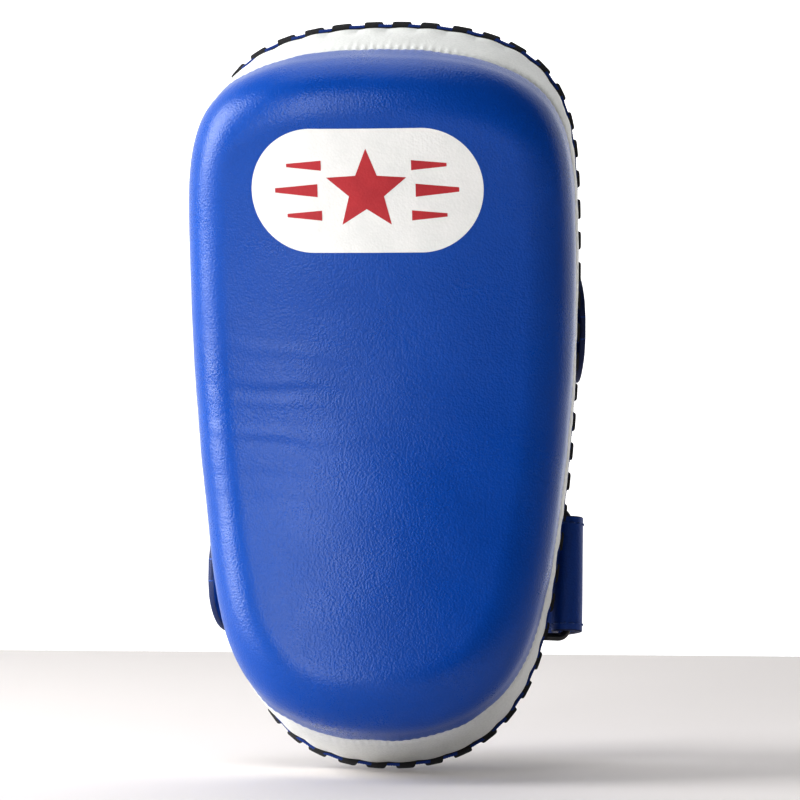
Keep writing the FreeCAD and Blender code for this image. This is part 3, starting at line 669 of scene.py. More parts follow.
def face_rows(columns, wall_rows, round_rows, crown_rows):
    """Rows (across, along, depth) from the seam over the round-over to the crest."""
    squeeze = (BEND_RADIUS - ROUND_DEPTH) / BEND_RADIUS
    loop = seam_loop(columns) * [1, squeeze]
    into = inward(loop)
    centre = loop + into * FACE_EDGE
    centre_depth = face_depth(centre[:, 0], FACE_EDGE)
    crown_x = centre[:, 0] / (CROWN_RADIUS - FACE_EDGE)
    crown_normal = np.stack([crown_x, np.zeros(columns), np.sqrt(1 - crown_x ** 2)], 1)
    wall_normal = np.column_stack([-into, np.zeros(columns)])
    angle = np.arccos(np.sum(crown_normal * wall_normal, 1))
    rows = []
    for share in np.linspace(0, 1, wall_rows) ** 1.6:
        depth = SEAM_DEPTH + 0.1 + share * (centre_depth - SEAM_DEPTH - 0.1)
        rows.append(np.column_stack([loop, depth]))
    for share in np.linspace(0, 1, round_rows + 1)[1:]:
        turn = (np.sin((1 - share) * angle)[:, None] * wall_normal
                + np.sin(share * angle)[:, None] * crown_normal) / np.sin(angle)[:, None]
        rows.append(np.column_stack([centre, centre_depth]) + FACE_EDGE * turn)
    edge = rows[-1]
    spine = np.column_stack([np.zeros(columns), np.clip(loop[:, 1] * 0.8, -100, 100)])
    for share in np.linspace(0, 1, crown_rows + 1)[1:]:
        place = edge[:, :2] + (spine - edge[:, :2]) * share
        rows.append(np.column_stack([place, face_depth(place[:, 0])]))
    rows = np.array(rows)
    return rows[..., 0], rows[..., 1] / squeeze, rows[..., 2]


def face_normals(points, x, along, depth):
    """Unit normals of the face's grid, outwards."""
    normal = grid_normals(points, close_columns=True)
    normal[-1] = normal[-2]
    ahead = world(x, along, depth + 1.0) - points
    middle = len(points) - 6
    return normal * np.sign(np.sum(normal[middle] * ahead[middle]))


def make_face():
    """Striking face: wall above the seam, round-over and crowned front in one mesh."""
    x, along, depth = face_rows(FACE_COLUMNS, 14, 16, 42)
    points = world(x, along, depth)
    normal = face_normals(points, x, along, depth)
    count = np.arange(FACE_COLUMNS)
    gather = np.sin(count / FACE_COLUMNS * 2 * math.pi * SEAM_STITCHES) * (0.6 + 0.4 * np.sin(count * 0.07))
    above = depth - SEAM_DEPTH
    pucker = 0.30 * np.exp(-above / 4.0) * gather[None, :]
    slack = np.exp(-above / 9.0) * waves(points / MM, 22.0, SEED + 3) * 0.30
    tuck = -1.5 * np.exp(-above / 1.6)
    fade = np.clip(above / 12.0, 0, 1)
    coarse = world(*face_rows(SEAM_STITCHES // 2, 5, 6, 14))
    pinned = np.zeros(coarse.shape[:2], bool)
    pinned[0] = pinned[-1] = True
    rows = np.interp(np.arange(len(points)), (0, 13, 29, 71), (0, 4, 10, 24))
    puffed = finer(puff(coarse, pinned, True, 1.0), rows, count / 10.0)
    height = face_relief(points, x, along) * fade + pucker + slack + tuck + puffed * fade
    build = Build()
    build.grid(points + normal * (height * MM)[..., None], close_columns=True)
    obj = build.object("face_leather", [face_blue], merge=1e-6)
    return settle(obj, "pad", "blue_leather", "front_cover")


def make_gusset():
    """White side wall, puffed between the lace wraps and gathered into the face seam."""
    per_wrap = 20
    columns = LACE_WRAPS * per_wrap
    back = back_loop(columns)
    seam = seam_loop(columns)
    outward = -inward(seam)
    start = world(back[:, 0], back[:, 1], 0.0)
    end = world(seam[:, 0], seam[:, 1], SEAM_DEPTH)
    out_world = unit_rows(world(seam[:, 0] + outward[:, 0], seam[:, 1] + outward[:, 1], SEAM_DEPTH) - end)
    count = np.arange(columns)
    wrap = (count / per_wrap) % 1.0
    between = np.sin(math.pi * wrap)
    gather = np.sin(count / columns * 2 * math.pi * SEAM_STITCHES) * (0.6 + 0.4 * np.sin(count * 0.07))
    rows = []
    for share in np.linspace(0.02, 0.998, 34):
        depth = share * SEAM_DEPTH
        base = start + (end - start) * share
        belly = 0.9 * math.sin(math.pi * share) ** 0.7
        scallop = (1.0 * between - 0.45) * math.exp(-((depth - 9.0) / 7.5) ** 2)
        tuck = -1.6 * math.exp(-(SEAM_DEPTH - depth) / 2.0) - 0.9 * math.exp(-depth / 3.0)
        pucker = 0.30 * gather * math.exp(-(SEAM_DEPTH - depth) / 4.5)
        slack = waves(base / MM, 30.0, SEED + 4) * 0.32 * math.sin(math.pi * share)
        height = belly + scallop + tuck + pucker + slack
        rows.append(base + out_world * (height * MM)[:, None])
    build = Build()
    build.grid(np.array(rows), close_columns=True)
    obj = build.object("gusset_leather", [gusset_white])
    return settle(obj, "pad", "white_leather", "side_gusset")


def make_back_panel():
    """Black back panel, drawn tight to the laced edge and slightly full in between."""
    columns = 360
    loop = back_loop(columns)
    into = inward(loop)
    rows = []
    spine = np.stack([np.zeros(columns), np.clip(loop[:, 1] * 0.8, -120, 120)], 1)
    rim = loop + into * 9.0
    for share in (0.0, 0.12, 0.3, 0.5, 0.75, 1.0):
        place = loop + into * 9.0 * share
        rows.append((place[:, 0], place[:, 1], np.full(columns, 0.55 * (1 - share) ** 2)))
    for share in np.linspace(0, 1, 46)[1:]:
        place = rim + (spine - rim) * share
        rows.append((place[:, 0], place[:, 1], np.zeros(columns)))
    x, along, depth = (np.array([row[i] for row in rows]) for i in range(3))
    flat = world(x, along, depth)
    uneven = waves(flat / MM, 45.0, SEED + 5) * 0.10 + waves(flat / MM, 14.0, SEED + 6) * 0.04
    outside = world(x, along, depth - uneven + 0.12)
    inside = world(x, along, np.full(x.shape, 2.4))
    build = Build()
    build.grid(outside, close_columns=True)
    build.grid(inside[:, ::-1], close_columns=True)
    obj = build.object("back_leather", [panel_black], merge=1e-6)
    return settle(obj, "pad", "black_leather", "back_panel")


def edge_frames(places):
    """On the back edge, at places given as shares of the way round: point, outward, in and along."""
    dense = 7680
    back = back_loop(dense)
    seam = seam_loop(dense)
    here = world(back[:, 0], back[:, 1], 0.0)
    ruling = (world(seam[:, 0], seam[:, 1], SEAM_DEPTH) - here) / SEAM_DEPTH
    tangent = unit_rows(np.roll(here, -1, 0) - np.roll(here, 1, 0))
    radial = world(back[:, 0], back[:, 1], 1.0) - here
    outward = unit_rows(np.cross(radial, tangent))
    side = np.sign(np.sum(outward[0] * np.array([0, 0, 1.0])))
    outward = outward * side
    index = np.mod(np.round(np.asarray(places) * dense).astype(int), dense)
    return here[index], outward[index], ruling[index], tangent[index]


BINDING_SECTION = [(0.15, 5.6), (1.05, 5.35), (1.35, 4.6), (1.45, 3.0), (1.42, 1.2), (1.3, 0.0),
                   (0.95, -0.8), (0.3, -1.3), (-0.8, -1.5), (-2.4, -1.5), (-4.2, -1.48), (-5.2, -1.3),
                   (-5.5, -0.5), (-5.45, 0.1)]


def make_binding():
    """Ribbed tape folded over the back edge; every rib is in the mesh."""
    ribs = 740
    per_rib = 4
    columns = ribs * per_rib
    here, outward, ruling, _ = edge_frames(np.arange(columns) / columns)
    section = np.array(BINDING_SECTION)
    middle = section.mean(0) + [0.2, 0.6]
    rib = np.cos(np.arange(columns) / per_rib * 2 * math.pi)
    wrap = (np.arange(columns) / columns * LACE_WRAPS) % 1.0
    squeeze = 0.22 * np.cos(2 * math.pi * wrap)
    rows = []
    for side, depth in section:
        away = np.array([side, depth]) - middle
        away = away / np.linalg.norm(away)
        grow = (0.10 * rib - squeeze - 0.05)[:, None]
        flat = np.array([side, depth])[None] + grow * away[None]
        rows.append(here + (outward * flat[:, :1] + ruling * flat[:, 1:]) * MM)
    build = Build()
    build.grid(np.array(rows), close_columns=True)
    obj = build.object("binding_tape", [binding_blue])
    return settle(obj, "pad", "blue_binding", "edge_binding")


LACE_ROUTE = [(-1.2, 8.8), (0.2, 8.5), (1.5, 7.8), (2.05, 6.6), (2.15, 4.0), (2.15, 1.0), (2.0, -0.6),
              (1.35, -1.6), (0.3, -2.1), (-1.5, -2.15), (-4.5, -2.15), (-6.3, -2.0), (-7.4, -1.4),
              (-7.9, 0.0)]


def lace_section(half_width, half_thickness, sides=20):
    """Flat oval-cornered section as (across, out)."""
    turn = np.arange(sides) / sides * 2 * math.pi
    across = half_width * np.sign(np.cos(turn)) * np.abs(np.cos(turn)) ** 0.3
    out = half_thickness * np.sign(np.sin(turn)) * np.abs(np.sin(turn)) ** 0.5
    return across, out


def make_lace():
    """Flat lace whipped over the binding: out of one hole, over the edge, into the panel."""
    rng = np.random.default_rng(SEED + 8)
    build = Build()
    route, travelled = along_path(np.array(LACE_ROUTE), 0.6)
    for _ in range(4):
        route[1:-1] = (route[:-2] + 2 * route[1:-1] + route[2:]) / 4
    out = left_of(route)
    out = out * np.sign(out[len(out) // 2] @ np.array([1.0, -0.6]))
    share = travelled / travelled[-1]
    here, outward, ruling, tangent = edge_frames((np.arange(LACE_WRAPS) + 0.5) / LACE_WRAPS)
    for index in range(LACE_WRAPS):
        slant = rng.uniform(4.0, 5.6)
        slip = rng.uniform(-0.5, 0.5)
        width = rng.uniform(7.4, 8.4)
        press = 1 + 0.10 * np.sin(share * math.pi * 2 + rng.uniform(0, 6))
        across, thick = lace_section(width / 2, 0.55)
        shift = (share - 0.5) * slant + slip
        place = route[:, None, :] + out[:, None, :] * thick[None, :, None]
        along = shift[:, None] + across[None, :] * press[:, None]
        points = (along[..., None] * tangent[index] + place[..., :1] * outward[index]
                  + place[..., 1:] * ruling[index])
        build.grid(here[index] + points * MM, close_columns=True)
    obj = build.object("edge_lacing", [lace_black])
    return settle(obj, "pad", "black_lace", "edge_lace")


# ---- printed badge ----

def badge_layer(build, inside_rows, lift, slot):
    """Thin ink on the face from rows of (across, up) points in millimetres about the badge."""
    middle_x, middle_along = -3.0, 120.8
    stretch = BEND_RADIUS / (BEND_RADIUS - PAD_THICKNESS)
    rows = np.array(inside_rows)
    x = middle_x + rows[..., 0]
    along = middle_along + rows[..., 1] * stretch
    depth = face_depth(x)
    base = world(x, along, depth)
    relief = face_relief(base, x, along)
    ahead = world(x, along, depth + 1.0) - base
    top = base + ahead * (relief + lift)[..., None]
    build.grid(top, slot=slot)


def fan_rows(outline, rings):
    """Rows that shrink a closed outline to its centre."""
    outline = np.array(outline + outline[:1], float)
    centre = outline[:-1].mean(0)
    return [centre + (outline - centre) * share for share in np.linspace(1, 0.0, rings)]


def pill(width, height, count=160):
    points = []
    half = (width - height) / 2
    for index in range(count):
        angle = 2 * math.pi * index / count
        side = half if math.cos(angle) > 0 else -half
        points.append((side + height / 2 * math.cos(angle), height / 2 * math.sin(angle)))
    return points


def dense(outline, step=1.2):
    """The closed outline with more points on its straight sides."""
    result = []
    for a, b in zip(outline, outline[1:] + outline[:1]):
        run, rise = b[0] - a[0], b[1] - a[1]
        parts = max(1, int(math.hypot(run, rise) / step))
        result += [(a[0] + run * i / parts, a[1] + rise * i / parts) for i in range(parts)]
    return result


def make_badge():
    """Generic badge: a white pill with a red star between tapered bars."""
    build = Build()
    badge_layer(build, fan_rows(dense(pill(116.0, 62.0)), 34), 0.10, 0)
    star = []
    for index in range(10):
        radius = 21.0 if index % 2 == 0 else 9.2
        angle = math.radians(90 + 36 * index)
        star.append((radius * math.cos(angle), radius * math.sin(angle)))
    badge_layer(build, fan_rows(dense(star), 14), 0.19, 1)
    for side in (-1, 1):
        for lift, reach, height in ((12.5, 40.0, 5.0), (0.0, 46.0, 6.5), (-12.5, 40.0, 5.0)):
            inner = 22.5 if lift else 24.5
            bar = [(side * inner, lift - height / 2), (side * reach, lift - height / 6),
                   (side * reach, lift + height / 6), (side * inner, lift + height / 2)]
            badge_layer(build, fan_rows(dense(bar), 8), 0.19, 1)
    obj = build.object("badge_print", [ink_white, ink_red], merge=1e-6)
    return settle(obj, "pad", "white_leather")


# ---- straps ----

def along_arch(degrees, distance=0.0):
    angle = math.radians(degrees)
    normal_x = math.cos(angle) / ARCH_HALF
    normal_h = math.sin(angle) / ARCH_RISE
    size = math.hypot(normal_x, normal_h)
    return (ARCH_HALF * math.cos(angle) + distance * normal_x / size,
            ARCH_SPRING + ARCH_RISE * math.sin(angle) + distance * normal_h / size)


def arch_points(start, end, distance=0.0, steps=96):
    return [along_arch(start + (end - start) * i / steps, distance) for i in range(steps + 1)]


def unit(start, end):
    size = math.hypot(end[0] - start[0], end[1] - start[1])
    return ((end[0] - start[0]) / size, (end[1] - start[1]) / size)


def sweep_between(start, start_pull, end, end_pull, steps=20):
    points = []
    for index in range(1, steps + 1):
        t = index / steps
        weights = ((1 - t) ** 3, 3 * t * (1 - t) ** 2, 3 * t * t * (1 - t), t ** 3)
        corners = (start, start_pull, end_pull, end)
        points.append(tuple(sum(w * c[i] for w, c in zip(weights, corners)) for i in (0, 1)))
    return points


def arc_about(middle, radius, start, end, steps=32):
    points = []
    for index in range(steps + 1):
        angle = math.radians(start + (end - start) * index / steps)
        points.append((middle[0] + radius * math.cos(angle), middle[1] + radius * math.sin(angle)))
    return points


def span_path():
    """Middle of the fixed strap: sewn foot, arch, and the fold round the ring."""
    left = FOLD_X - FOLD_RADIUS
    foot_bend = ARCH_SPRING - FOOT_H
    foot = (-left + foot_bend, FOOT_H)
    spring = (-left, ARCH_SPRING)
    pull = foot_bend * 0.55
    path = [(-ANCHOR_X + PATCH_LENGTH, FOOT_H), foot]
    path += sweep_between(foot, (foot[0] - pull, foot[1]), spring, (spring[0], spring[1] - pull))
    rise = along_arch(180 - TONGUE_START)
    lean = unit(along_arch(181 - TONGUE_START), rise)
    reach = (rise[1] - spring[1]) * 0.4
    path += sweep_between(spring, (spring[0], spring[1] + reach), rise,
                          (rise[0] - lean[0] * reach, rise[1] - lean[1] * reach))
    path += arch_points(180 - TONGUE_START, TONGUE_START)[1:]
    fall = along_arch(TONGUE_START)
    lean = unit(along_arch(TONGUE_START + 1), fall)
    turn = (left, FOLD_H)
    path += sweep_between(fall, (fall[0] + lean[0] * reach, fall[1] + lean[1] * reach),
                          turn, (turn[0], turn[1] + reach))
    path += arc_about((FOLD_X, FOLD_H), FOLD_RADIUS, 180, 360)[1:]
    out = (FOLD_X + FOLD_RADIUS, FOLD_H)
    stop = along_arch(TONGUE_START, TONGUE_MIDDLE)
    lean = unit(along_arch(TONGUE_START - 1, TONGUE_MIDDLE), stop)
    path += sweep_between(out, (out[0], out[1] + reach), stop,
                          (stop[0] - lean[0] * reach, stop[1] - lean[1] * reach))
    return path


def tongue_path():
    """Middle of the free tongue, over the arch to its standing-off end."""
    path = arch_points(TONGUE_START, 160.0, TONGUE_MIDDLE)
    start = path[-1]
    lean = unit(path[-2], start)
    tip = (-ARCH_HALF - TONGUE_MIDDLE - TONGUE_FLARE, TONGUE_TIP_H)
    pull = (start[1] - tip[1]) * 0.4
    path += sweep_between(start, (start[0] + lean[0] * pull, start[1] + lean[1] * pull),
                          tip, (tip[0] + pull * 0.35, tip[1] + pull))
    return path


def keeper_path():
    """Middle of the tab that holds the ring: under the bar, round it and back."""
    inner_x = BAR_X - KEEPER_LENGTH
    upper = FOOT_H + STRAP_LEATHER + SEAT_GAP
    rise_x = inner_x + KEEPER_LENGTH * 0.45
    path = [(inner_x, FOOT_H)]
    path += arc_about((BAR_X, BAR_H), KEEPER_RADIUS, -90, 110)
    last = path[-1]
    lean = unit(path[-2], last)
    path += sweep_between(last, (last[0] + lean[0] * 4, last[1] + lean[1] * 4),
                          (rise_x, upper), (rise_x + 5, upper))
    path.append((inner_x, upper))
    return path


def round_box(low, high, half, corner, steps, count):
    """Even loop round a box with round corners, as (place between low and high, side)."""
    outline = []
    for middle, side, start in ((high - corner, half - corner, 90), (high - corner, corner - half, 0),
                                (low + corner, corner - half, -90), (low + corner, half - corner, 180)):
        for step in range(steps + 1):
            angle = math.radians(start - step * 90 / steps)
            outline.append((middle + corner * math.cos(angle), side + corner * math.sin(angle)))
    return even_loop(np.array(outline), count)


def left_of(path):
    """Unit normals to the left of a path in the plane."""
    run = np.gradient(np.asarray(path, float), axis=0)
    return unit_rows(np.stack([-run[:, 1], run[:, 0]], 1))


def strap_section(half_width, thickness, edge=0.7, across=12):
    """Rounded flat section as (offset to the left, place across the width)."""
    half = thickness / 2
    flat = np.linspace(-half_width + edge, half_width - edge, across)
    points = []
    for side in (1, -1):
        points += [(side * half, side * z) for z in flat]
        for turn in (60, 30, 0, -30, -60):
            angle = math.radians(turn)
            rise = (half - edge) * np.sign(math.sin(angle)) + edge * math.sin(angle)
            points.append((side * rise, side * (half_width - edge + edge * math.cos(angle))))
    return points


def strap_mesh(build, path, thickness, half_widths, along, mirrored, seed, wobble=0.12, edge=0.7, slot=0,
               edge_slot=None):
    """Leather or tape strip along a path, with rounded edges, in its place on the back."""
    path = np.asarray(path, float)
    normal = left_of(path)
    sections = [strap_section(w, thickness, edge) for w in half_widths]
    rows = []
    for point, side, section in zip(path, normal, sections):
        offsets = np.array(section)
        rows.append(np.stack([point[0] + side[0] * offsets[:, 0], point[1] + side[1] * offsets[:, 0],
                              offsets[:, 1]], 1))
    rows = np.array(rows)
    bump = waves(rows * [1, 1, 0.6], 26.0, seed) * wobble
    rows[..., 0] += normal[:, None, 0] * bump
    rows[..., 1] += normal[:, None, 1] * bump
    count = rows.shape[1]
    base = build.count
    build.grid(strap_world(rows, along, mirrored), close_columns=True, slot=slot)
    for row in (0, rows.shape[0] - 1):
        ring = [base + row * count + i for i in range(count)]
        half = 12
        top, bottom = ring[:half], ring[half + 5:half + 5 + half][::-1]
        for i in range(half - 1):
            build.faces.append([top[i], top[i + 1], bottom[i + 1], bottom[i]])
            build.slots.append(edge_slot if edge_slot is not None else slot)
        right = [top[-1]] + ring[half:half + 5] + [bottom[-1]]
        left = [bottom[0]] + ring[2 * half + 5:] + [top[0]]
        build.faces += [right, left]
        build.slots += [slot, slot]
    if edge_slot is not None:
        quads = (rows.shape[0] - 1) * count
        start = len(build.faces) - quads - 2 * (half - 1) - 4
        for row in range(rows.shape[0] - 1):
            for column in range(count):
                if half - 1 <= column <= half + 4 or column >= 2 * half + 4:
                    build.slots[start + row * count + column] = edge_slot


def strap_stitches(build, line, lift, along, mirrored=False, length=3.2, gap=1.0, radius=0.42,
                   slot=1, closed=False):
    """Stitches along strap points; lift is the way out of the surface there."""
    placed = strap_world(line, along, mirrored)
    outward = unit_rows(strap_world(line + lift, along, mirrored) - placed)
    stitch_row(build, placed, outward, length, gap, radius, slot=slot, closed=closed)


def lengthwise_stitches(build, path, z, offset, along, mirrored, slot, length=3.2):
    """Row of stitches along a strap at one place across its width."""
    path = np.asarray(path, float)
    normal = left_of(path)
    line = np.column_stack([path + normal * offset, np.full(len(path), z)])
    lift = np.column_stack([normal * np.sign(offset), np.zeros(len(path))])
    strap_stitches(build, line, lift, along, mirrored, length, slot=slot)


def crosswise_stitches(build, path, travelled, offset, half, along, mirrored, slot):
    """Row of stitches across a strap at a distance along it."""
    path, reach = along_path(path, 0.5)
    index = int(np.argmin(np.abs(reach - travelled)))
    normal = left_of(path)[index]
    point = path[index] + normal * offset
    across = np.linspace(-half, half, 24)
    line = np.column_stack([np.full(24, point[0]), np.full(24, point[1]), across])
    strap_stitches(build, line, np.append(normal * np.sign(offset), 0), along, mirrored, slot=slot)


def end_round(distance_left, half=STRAP_WIDTH / 2, corner=TONGUE_CORNER):
    """Half width of the tongue near its rounded end."""
    missing = np.clip(corner - distance_left, 0, corner)
    return half - corner + np.sqrt(np.maximum(corner ** 2 - missing ** 2, 0.02))


def make_strap(name, along, mirrored):
    """One forearm strap: fixed span, free tongue, tapes, ring, keeper, patches."""
    seed = SEED + (20 if mirrored else 40)
    half = STRAP_WIDTH / 2
    surface = STRAP_LEATHER / 2

    build = Build()
    path, travelled = along_path(span_path(), 1.6)
    strap_mesh(build, path, STRAP_LEATHER, np.full(len(path), half), along, mirrored, seed,
               wobble=0.04, edge_slot=1)
    fold_starts = int(np.argmax((path[:, 0] > 0) & (path[:, 1] < FOLD_H + FOLD_STITCH_ROOM)))
    for z in (-half + 3.8, half - 3.8):
        lengthwise_stitches(build, path[8:fold_starts], z, surface, along, mirrored, 2)
        lengthwise_stitches(build, path[8:-2], z, -surface, along, mirrored, 2)
    total = travelled[-1]
    for distance in (4.0, total - 5.0):
        crosswise_stitches(build, path, distance, -surface, half - 4.0, along, mirrored, 2)
    obj = build.object(name + "_strap_leather", [strap_blue, strap_edge, thread_blue])
    settle(obj, "pad", "strap_leather", name + "_strap_span")

    build = Build()
    path, travelled = along_path(tongue_path(), 1.6)
    widths = end_round(travelled[-1] - travelled)
    strap_mesh(build, path, STRAP_LEATHER, widths, along, mirrored, seed + 1, edge_slot=1)
    rim, _ = along_path(tongue_rim(travelled), 0.8)
    for offset in (surface, -surface):
        line = rim_points(path, travelled, rim, offset)
        lift = rim_points(path, travelled, rim, offset + np.sign(offset)) - line
        strap_stitches(build, line, lift, along, mirrored, slot=2)
    tongue = build.object(name + "_tongue_leather", [strap_blue, strap_edge, thread_blue])
    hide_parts(name + "_strap_tongue")
    hinge = along_arch(TONGUE_START, TONGUE_MIDDLE + surface)
    ahead = unit(hinge, along_arch(TONGUE_START + 6, TONGUE_MIDDLE + surface))
    run = 17.0
    ends = [(hinge[0], hinge[1], 0), (hinge[0] + ahead[0] * run, hinge[1] + ahead[1] * run, 0)]
    ends = strap_world(np.array(ends), along, mirrored)
    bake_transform(tongue)

    for kind, middle, body, material in (("loop", LOOP_MIDDLE, "pad", loop_black),
                                         ("hook", HOOK_MIDDLE, name + "_tongue", hook_black)):
        build = Build()
        path, travelled = along_path(arch_points(TAPE_FROM, TAPE_TO, middle), 1.6)
        strap_mesh(build, path, TAPE, np.full(len(path), TAPE_WIDTH / 2), along, mirrored, seed + 3,
                   wobble=0.06, edge=0.35)
        outward = 1 if kind == "loop" else -1
        for z in (-TAPE_WIDTH / 2 + 2.0, TAPE_WIDTH / 2 - 2.0):
            lengthwise_stitches(build, path, z, -outward * TAPE / 2, along, mirrored, 1, 2.6)
        obj = build.object(f"{name}_{kind}_tape", [material, thread_black])
        settle(obj, body, kind + "_tape", f"{name}_{kind}_patch")

    make_ring(name, along, mirrored)
    make_keeper(name, along, mirrored, seed + 5)
    make_patches(name, along, mirrored)


def tongue_rim(travelled, inset=4.0):
    """Stitch line round the tongue as (distance along, place across)."""
    total = travelled[-1]
    half = STRAP_WIDTH / 2 - inset
    corner = TONGUE_CORNER - inset
    turned = total - TONGUE_CORNER
    points = [(3.0, half), (turned, half)]
    for turn in range(85, -1, -5):
        angle = math.radians(turn)
        points.append((turned + corner * math.cos(angle), half - corner + corner * math.sin(angle)))
    return points + [(a, -z) for a, z in reversed(points)]


def rim_points(path, travelled, rim, offset):
    """Rim places carried onto the strap's surface."""
    normal = left_of(path)
    flat = path + normal * offset
    x = np.interp(rim[:, 0], travelled, flat[:, 0])
    h = np.interp(rim[:, 0], travelled, flat[:, 1])
    return np.column_stack([x, h, rim[:, 1]])


def make_ring(name, along, mirrored):
    """Rounded wire ring with the weld on its keeper bar."""
    near = np.array([BAR_X, BAR_H])
    far = np.array([FOLD_X, FOLD_H])
    out = (far - near) / np.linalg.norm(far - near)
    reach = np.linalg.norm(far - near)
    outline = round_box(0, reach, STRAP_WIDTH / 2 + RING_SIDE_ROOM + RING_WIRE / 2, RING_CORNER, 12, 200)
    points = np.column_stack([near + out * outline[:, :1], outline[:, 1]])
    weld = np.exp(-((outline[:, 1] + 14.0) / 1.1) ** 2) * (outline[:, 0] < reach / 2)
    build = Build()
    radius = (RING_WIRE / 2 + 0.22 * weld) * MM
    sweep_tube(build, strap_world(points, along, mirrored), radius, sides=18, closed=True)
    obj = build.object(name + "_wire_ring", [ring_enamel])
    settle(obj, name + "_ring", "ring_steel", name + "_ring")


def make_keeper(name, along, mirrored, seed):
    build = Build()
    path, travelled = along_path(keeper_path(), 0.9)
    strap_mesh(build, path, STRAP_LEATHER, np.full(len(path), KEEPER_WIDTH / 2), along, mirrored, seed,
               wobble=0.05, edge_slot=1)
    for z in (-KEEPER_WIDTH / 2 + 3.5, KEEPER_WIDTH / 2 - 3.5):
        lengthwise_stitches(build, path[-24:-3], z, -STRAP_LEATHER / 2, along, mirrored, 2)
    for back in (3.0, 15.5):
        crosswise_stitches(build, path, travelled[-1] - back, -STRAP_LEATHER / 2, KEEPER_WIDTH / 2 - 4,
                           along, mirrored, 2)
    obj = build.object(name + "_keeper_tab", [panel_black, black_edge, thread_black])
    settle(obj, "pad", "black_leather", name + "_ring_keeper")


def flat_patch(build, low_x, high_x, half_width, low, high, along, mirrored, follow, corner=4.0):
    """Flat patch with round corners and softened edges; it may follow the panel's bend."""
    outline = round_box(low_x, high_x, half_width, corner, 6, 120)
    into = inward(outline)
    rows = []
    for inset, height in ((0.4, low), (0.0, low + 0.4), (0.0, high - 0.7), (0.25, high - 0.2), (0.8, high),
                          (3.0, high), (6.0, high)):
        place = outline + into * inset
        rows.append(np.column_stack([place[:, 0], np.full(len(place), height), place[:, 1]]))
    spine = rows[-1].copy()
    spine[:, 0] = (low_x + high_x) / 2
    spine[:, 2] = np.clip(spine[:, 2], -half_width + 12, half_width - 12)
    rows.append(spine)
    rows = np.array(rows)
    if follow:
        rows[..., 1] -= rows[..., 2] ** 2 / (2 * BEND_RADIUS)
    build.grid(strap_world(rows, along, mirrored), close_columns=True)
    rim = outline + into * 2.6
    line = np.column_stack([rim[:, 0], np.full(len(rim), high), rim[:, 1]])
    if follow:
        line[:, 1] -= line[:, 2] ** 2 / (2 * BEND_RADIUS)
    strap_stitches(build, line, [0, 1, 0], along, mirrored, 2.6, 0.9, 0.36, closed=True)


def make_patches(name, along, mirrored):
    """Patches under the strap's sewn foot and under the ring keeper."""
    keeper_low = BAR_X - KEEPER_LENGTH - PATCH_MARGIN
    for kind, low, half in (("anchor", -ANCHOR_X, STRAP_WIDTH / 2),
                            ("keeper", keeper_low, KEEPER_WIDTH / 2)):
        build = Build()
        flat_patch(build, low, low + PATCH_LENGTH, half + PATCH_MARGIN, PATCH_LOW,
                   PATCH_LOW + PATCH_LEATHER, along, mirrored, True)
        obj = build.object(f"{name}_{kind}_leather", [panel_black, thread_black], merge=1e-6)
        settle(obj, "pad", "black_leather", f"{name}_{kind}_patch")


# ---- rivets ----

def lathe(build, profile, centre, axis, sides=36):
    """Turned shape: (radius, height) pairs about an axis, in millimetres and metres."""
    axis = unit_rows(np.asarray(axis, float))
    helper = np.array([1.0, 0, 0]) if abs(axis[0]) < 0.8 else np.array([0, 1.0, 0])
    a = unit_rows(np.cross(axis, helper))
    b = np.cross(axis, a)
    turn = np.arange(sides) / sides * 2 * math.pi
    ring = np.cos(turn)[:, None] * a + np.sin(turn)[:, None] * b
    rows = [centre + (ring * radius + axis * height) * MM for radius, height in profile]
    build.grid(np.array(rows), close_columns=True)


def rivet(build, profile, foot, lean, along, mirrored):
    """Rivet with its head at a strap point and its axis the way it leans."""
    ends = strap_world(np.array([foot, np.add(foot, lean)]), along, mirrored)
    lathe(build, profile, ends[0], ends[1] - ends[0])


DOME = [(0.0, 1.45), (1.2, 1.4), (2.4, 1.2), (3.3, 0.9), (3.55, 0.62), (3.75, 0.6), (4.2, 0.55),
        (4.45, 0.35), (4.5, 0.1), (4.4, 0.0), (2.0, -0.05), (1.95, -2.5), (0.0, -2.6)]


def make_rivets():
    """Domed rivets through strap feet and keepers."""
    reach = KEEPER_WIDTH / 2 - 9.0
    anchor_x = -ANCHOR_X + PATCH_LENGTH * 0.6
    keeper_x = BAR_X - KEEPER_LENGTH * 0.78
    anchor_top = FOOT_H + STRAP_LEATHER / 2 + LAYER_GAP
    keeper_top = FOOT_H + STRAP_LEATHER * 1.5 + SEAT_GAP + LAYER_GAP
    for piece, x, top in (("anchor_rivets", anchor_x, anchor_top), ("keeper_rivets", keeper_x, keeper_top)):
        build = Build()
        for along, mirrored in ((LOWER_STRAP, False), (UPPER_STRAP, True)):
            for z in (-reach, reach):
                rivet(build, DOME, (x, top, z), (0, 1, 0), along, mirrored)
        obj = build.object(piece.replace("rivets", "rivet_heads"), [rivet_steel], merge=1e-6)
        settle(obj, "pad", "rivet_steel", piece)


# ---- forearm cushion ----

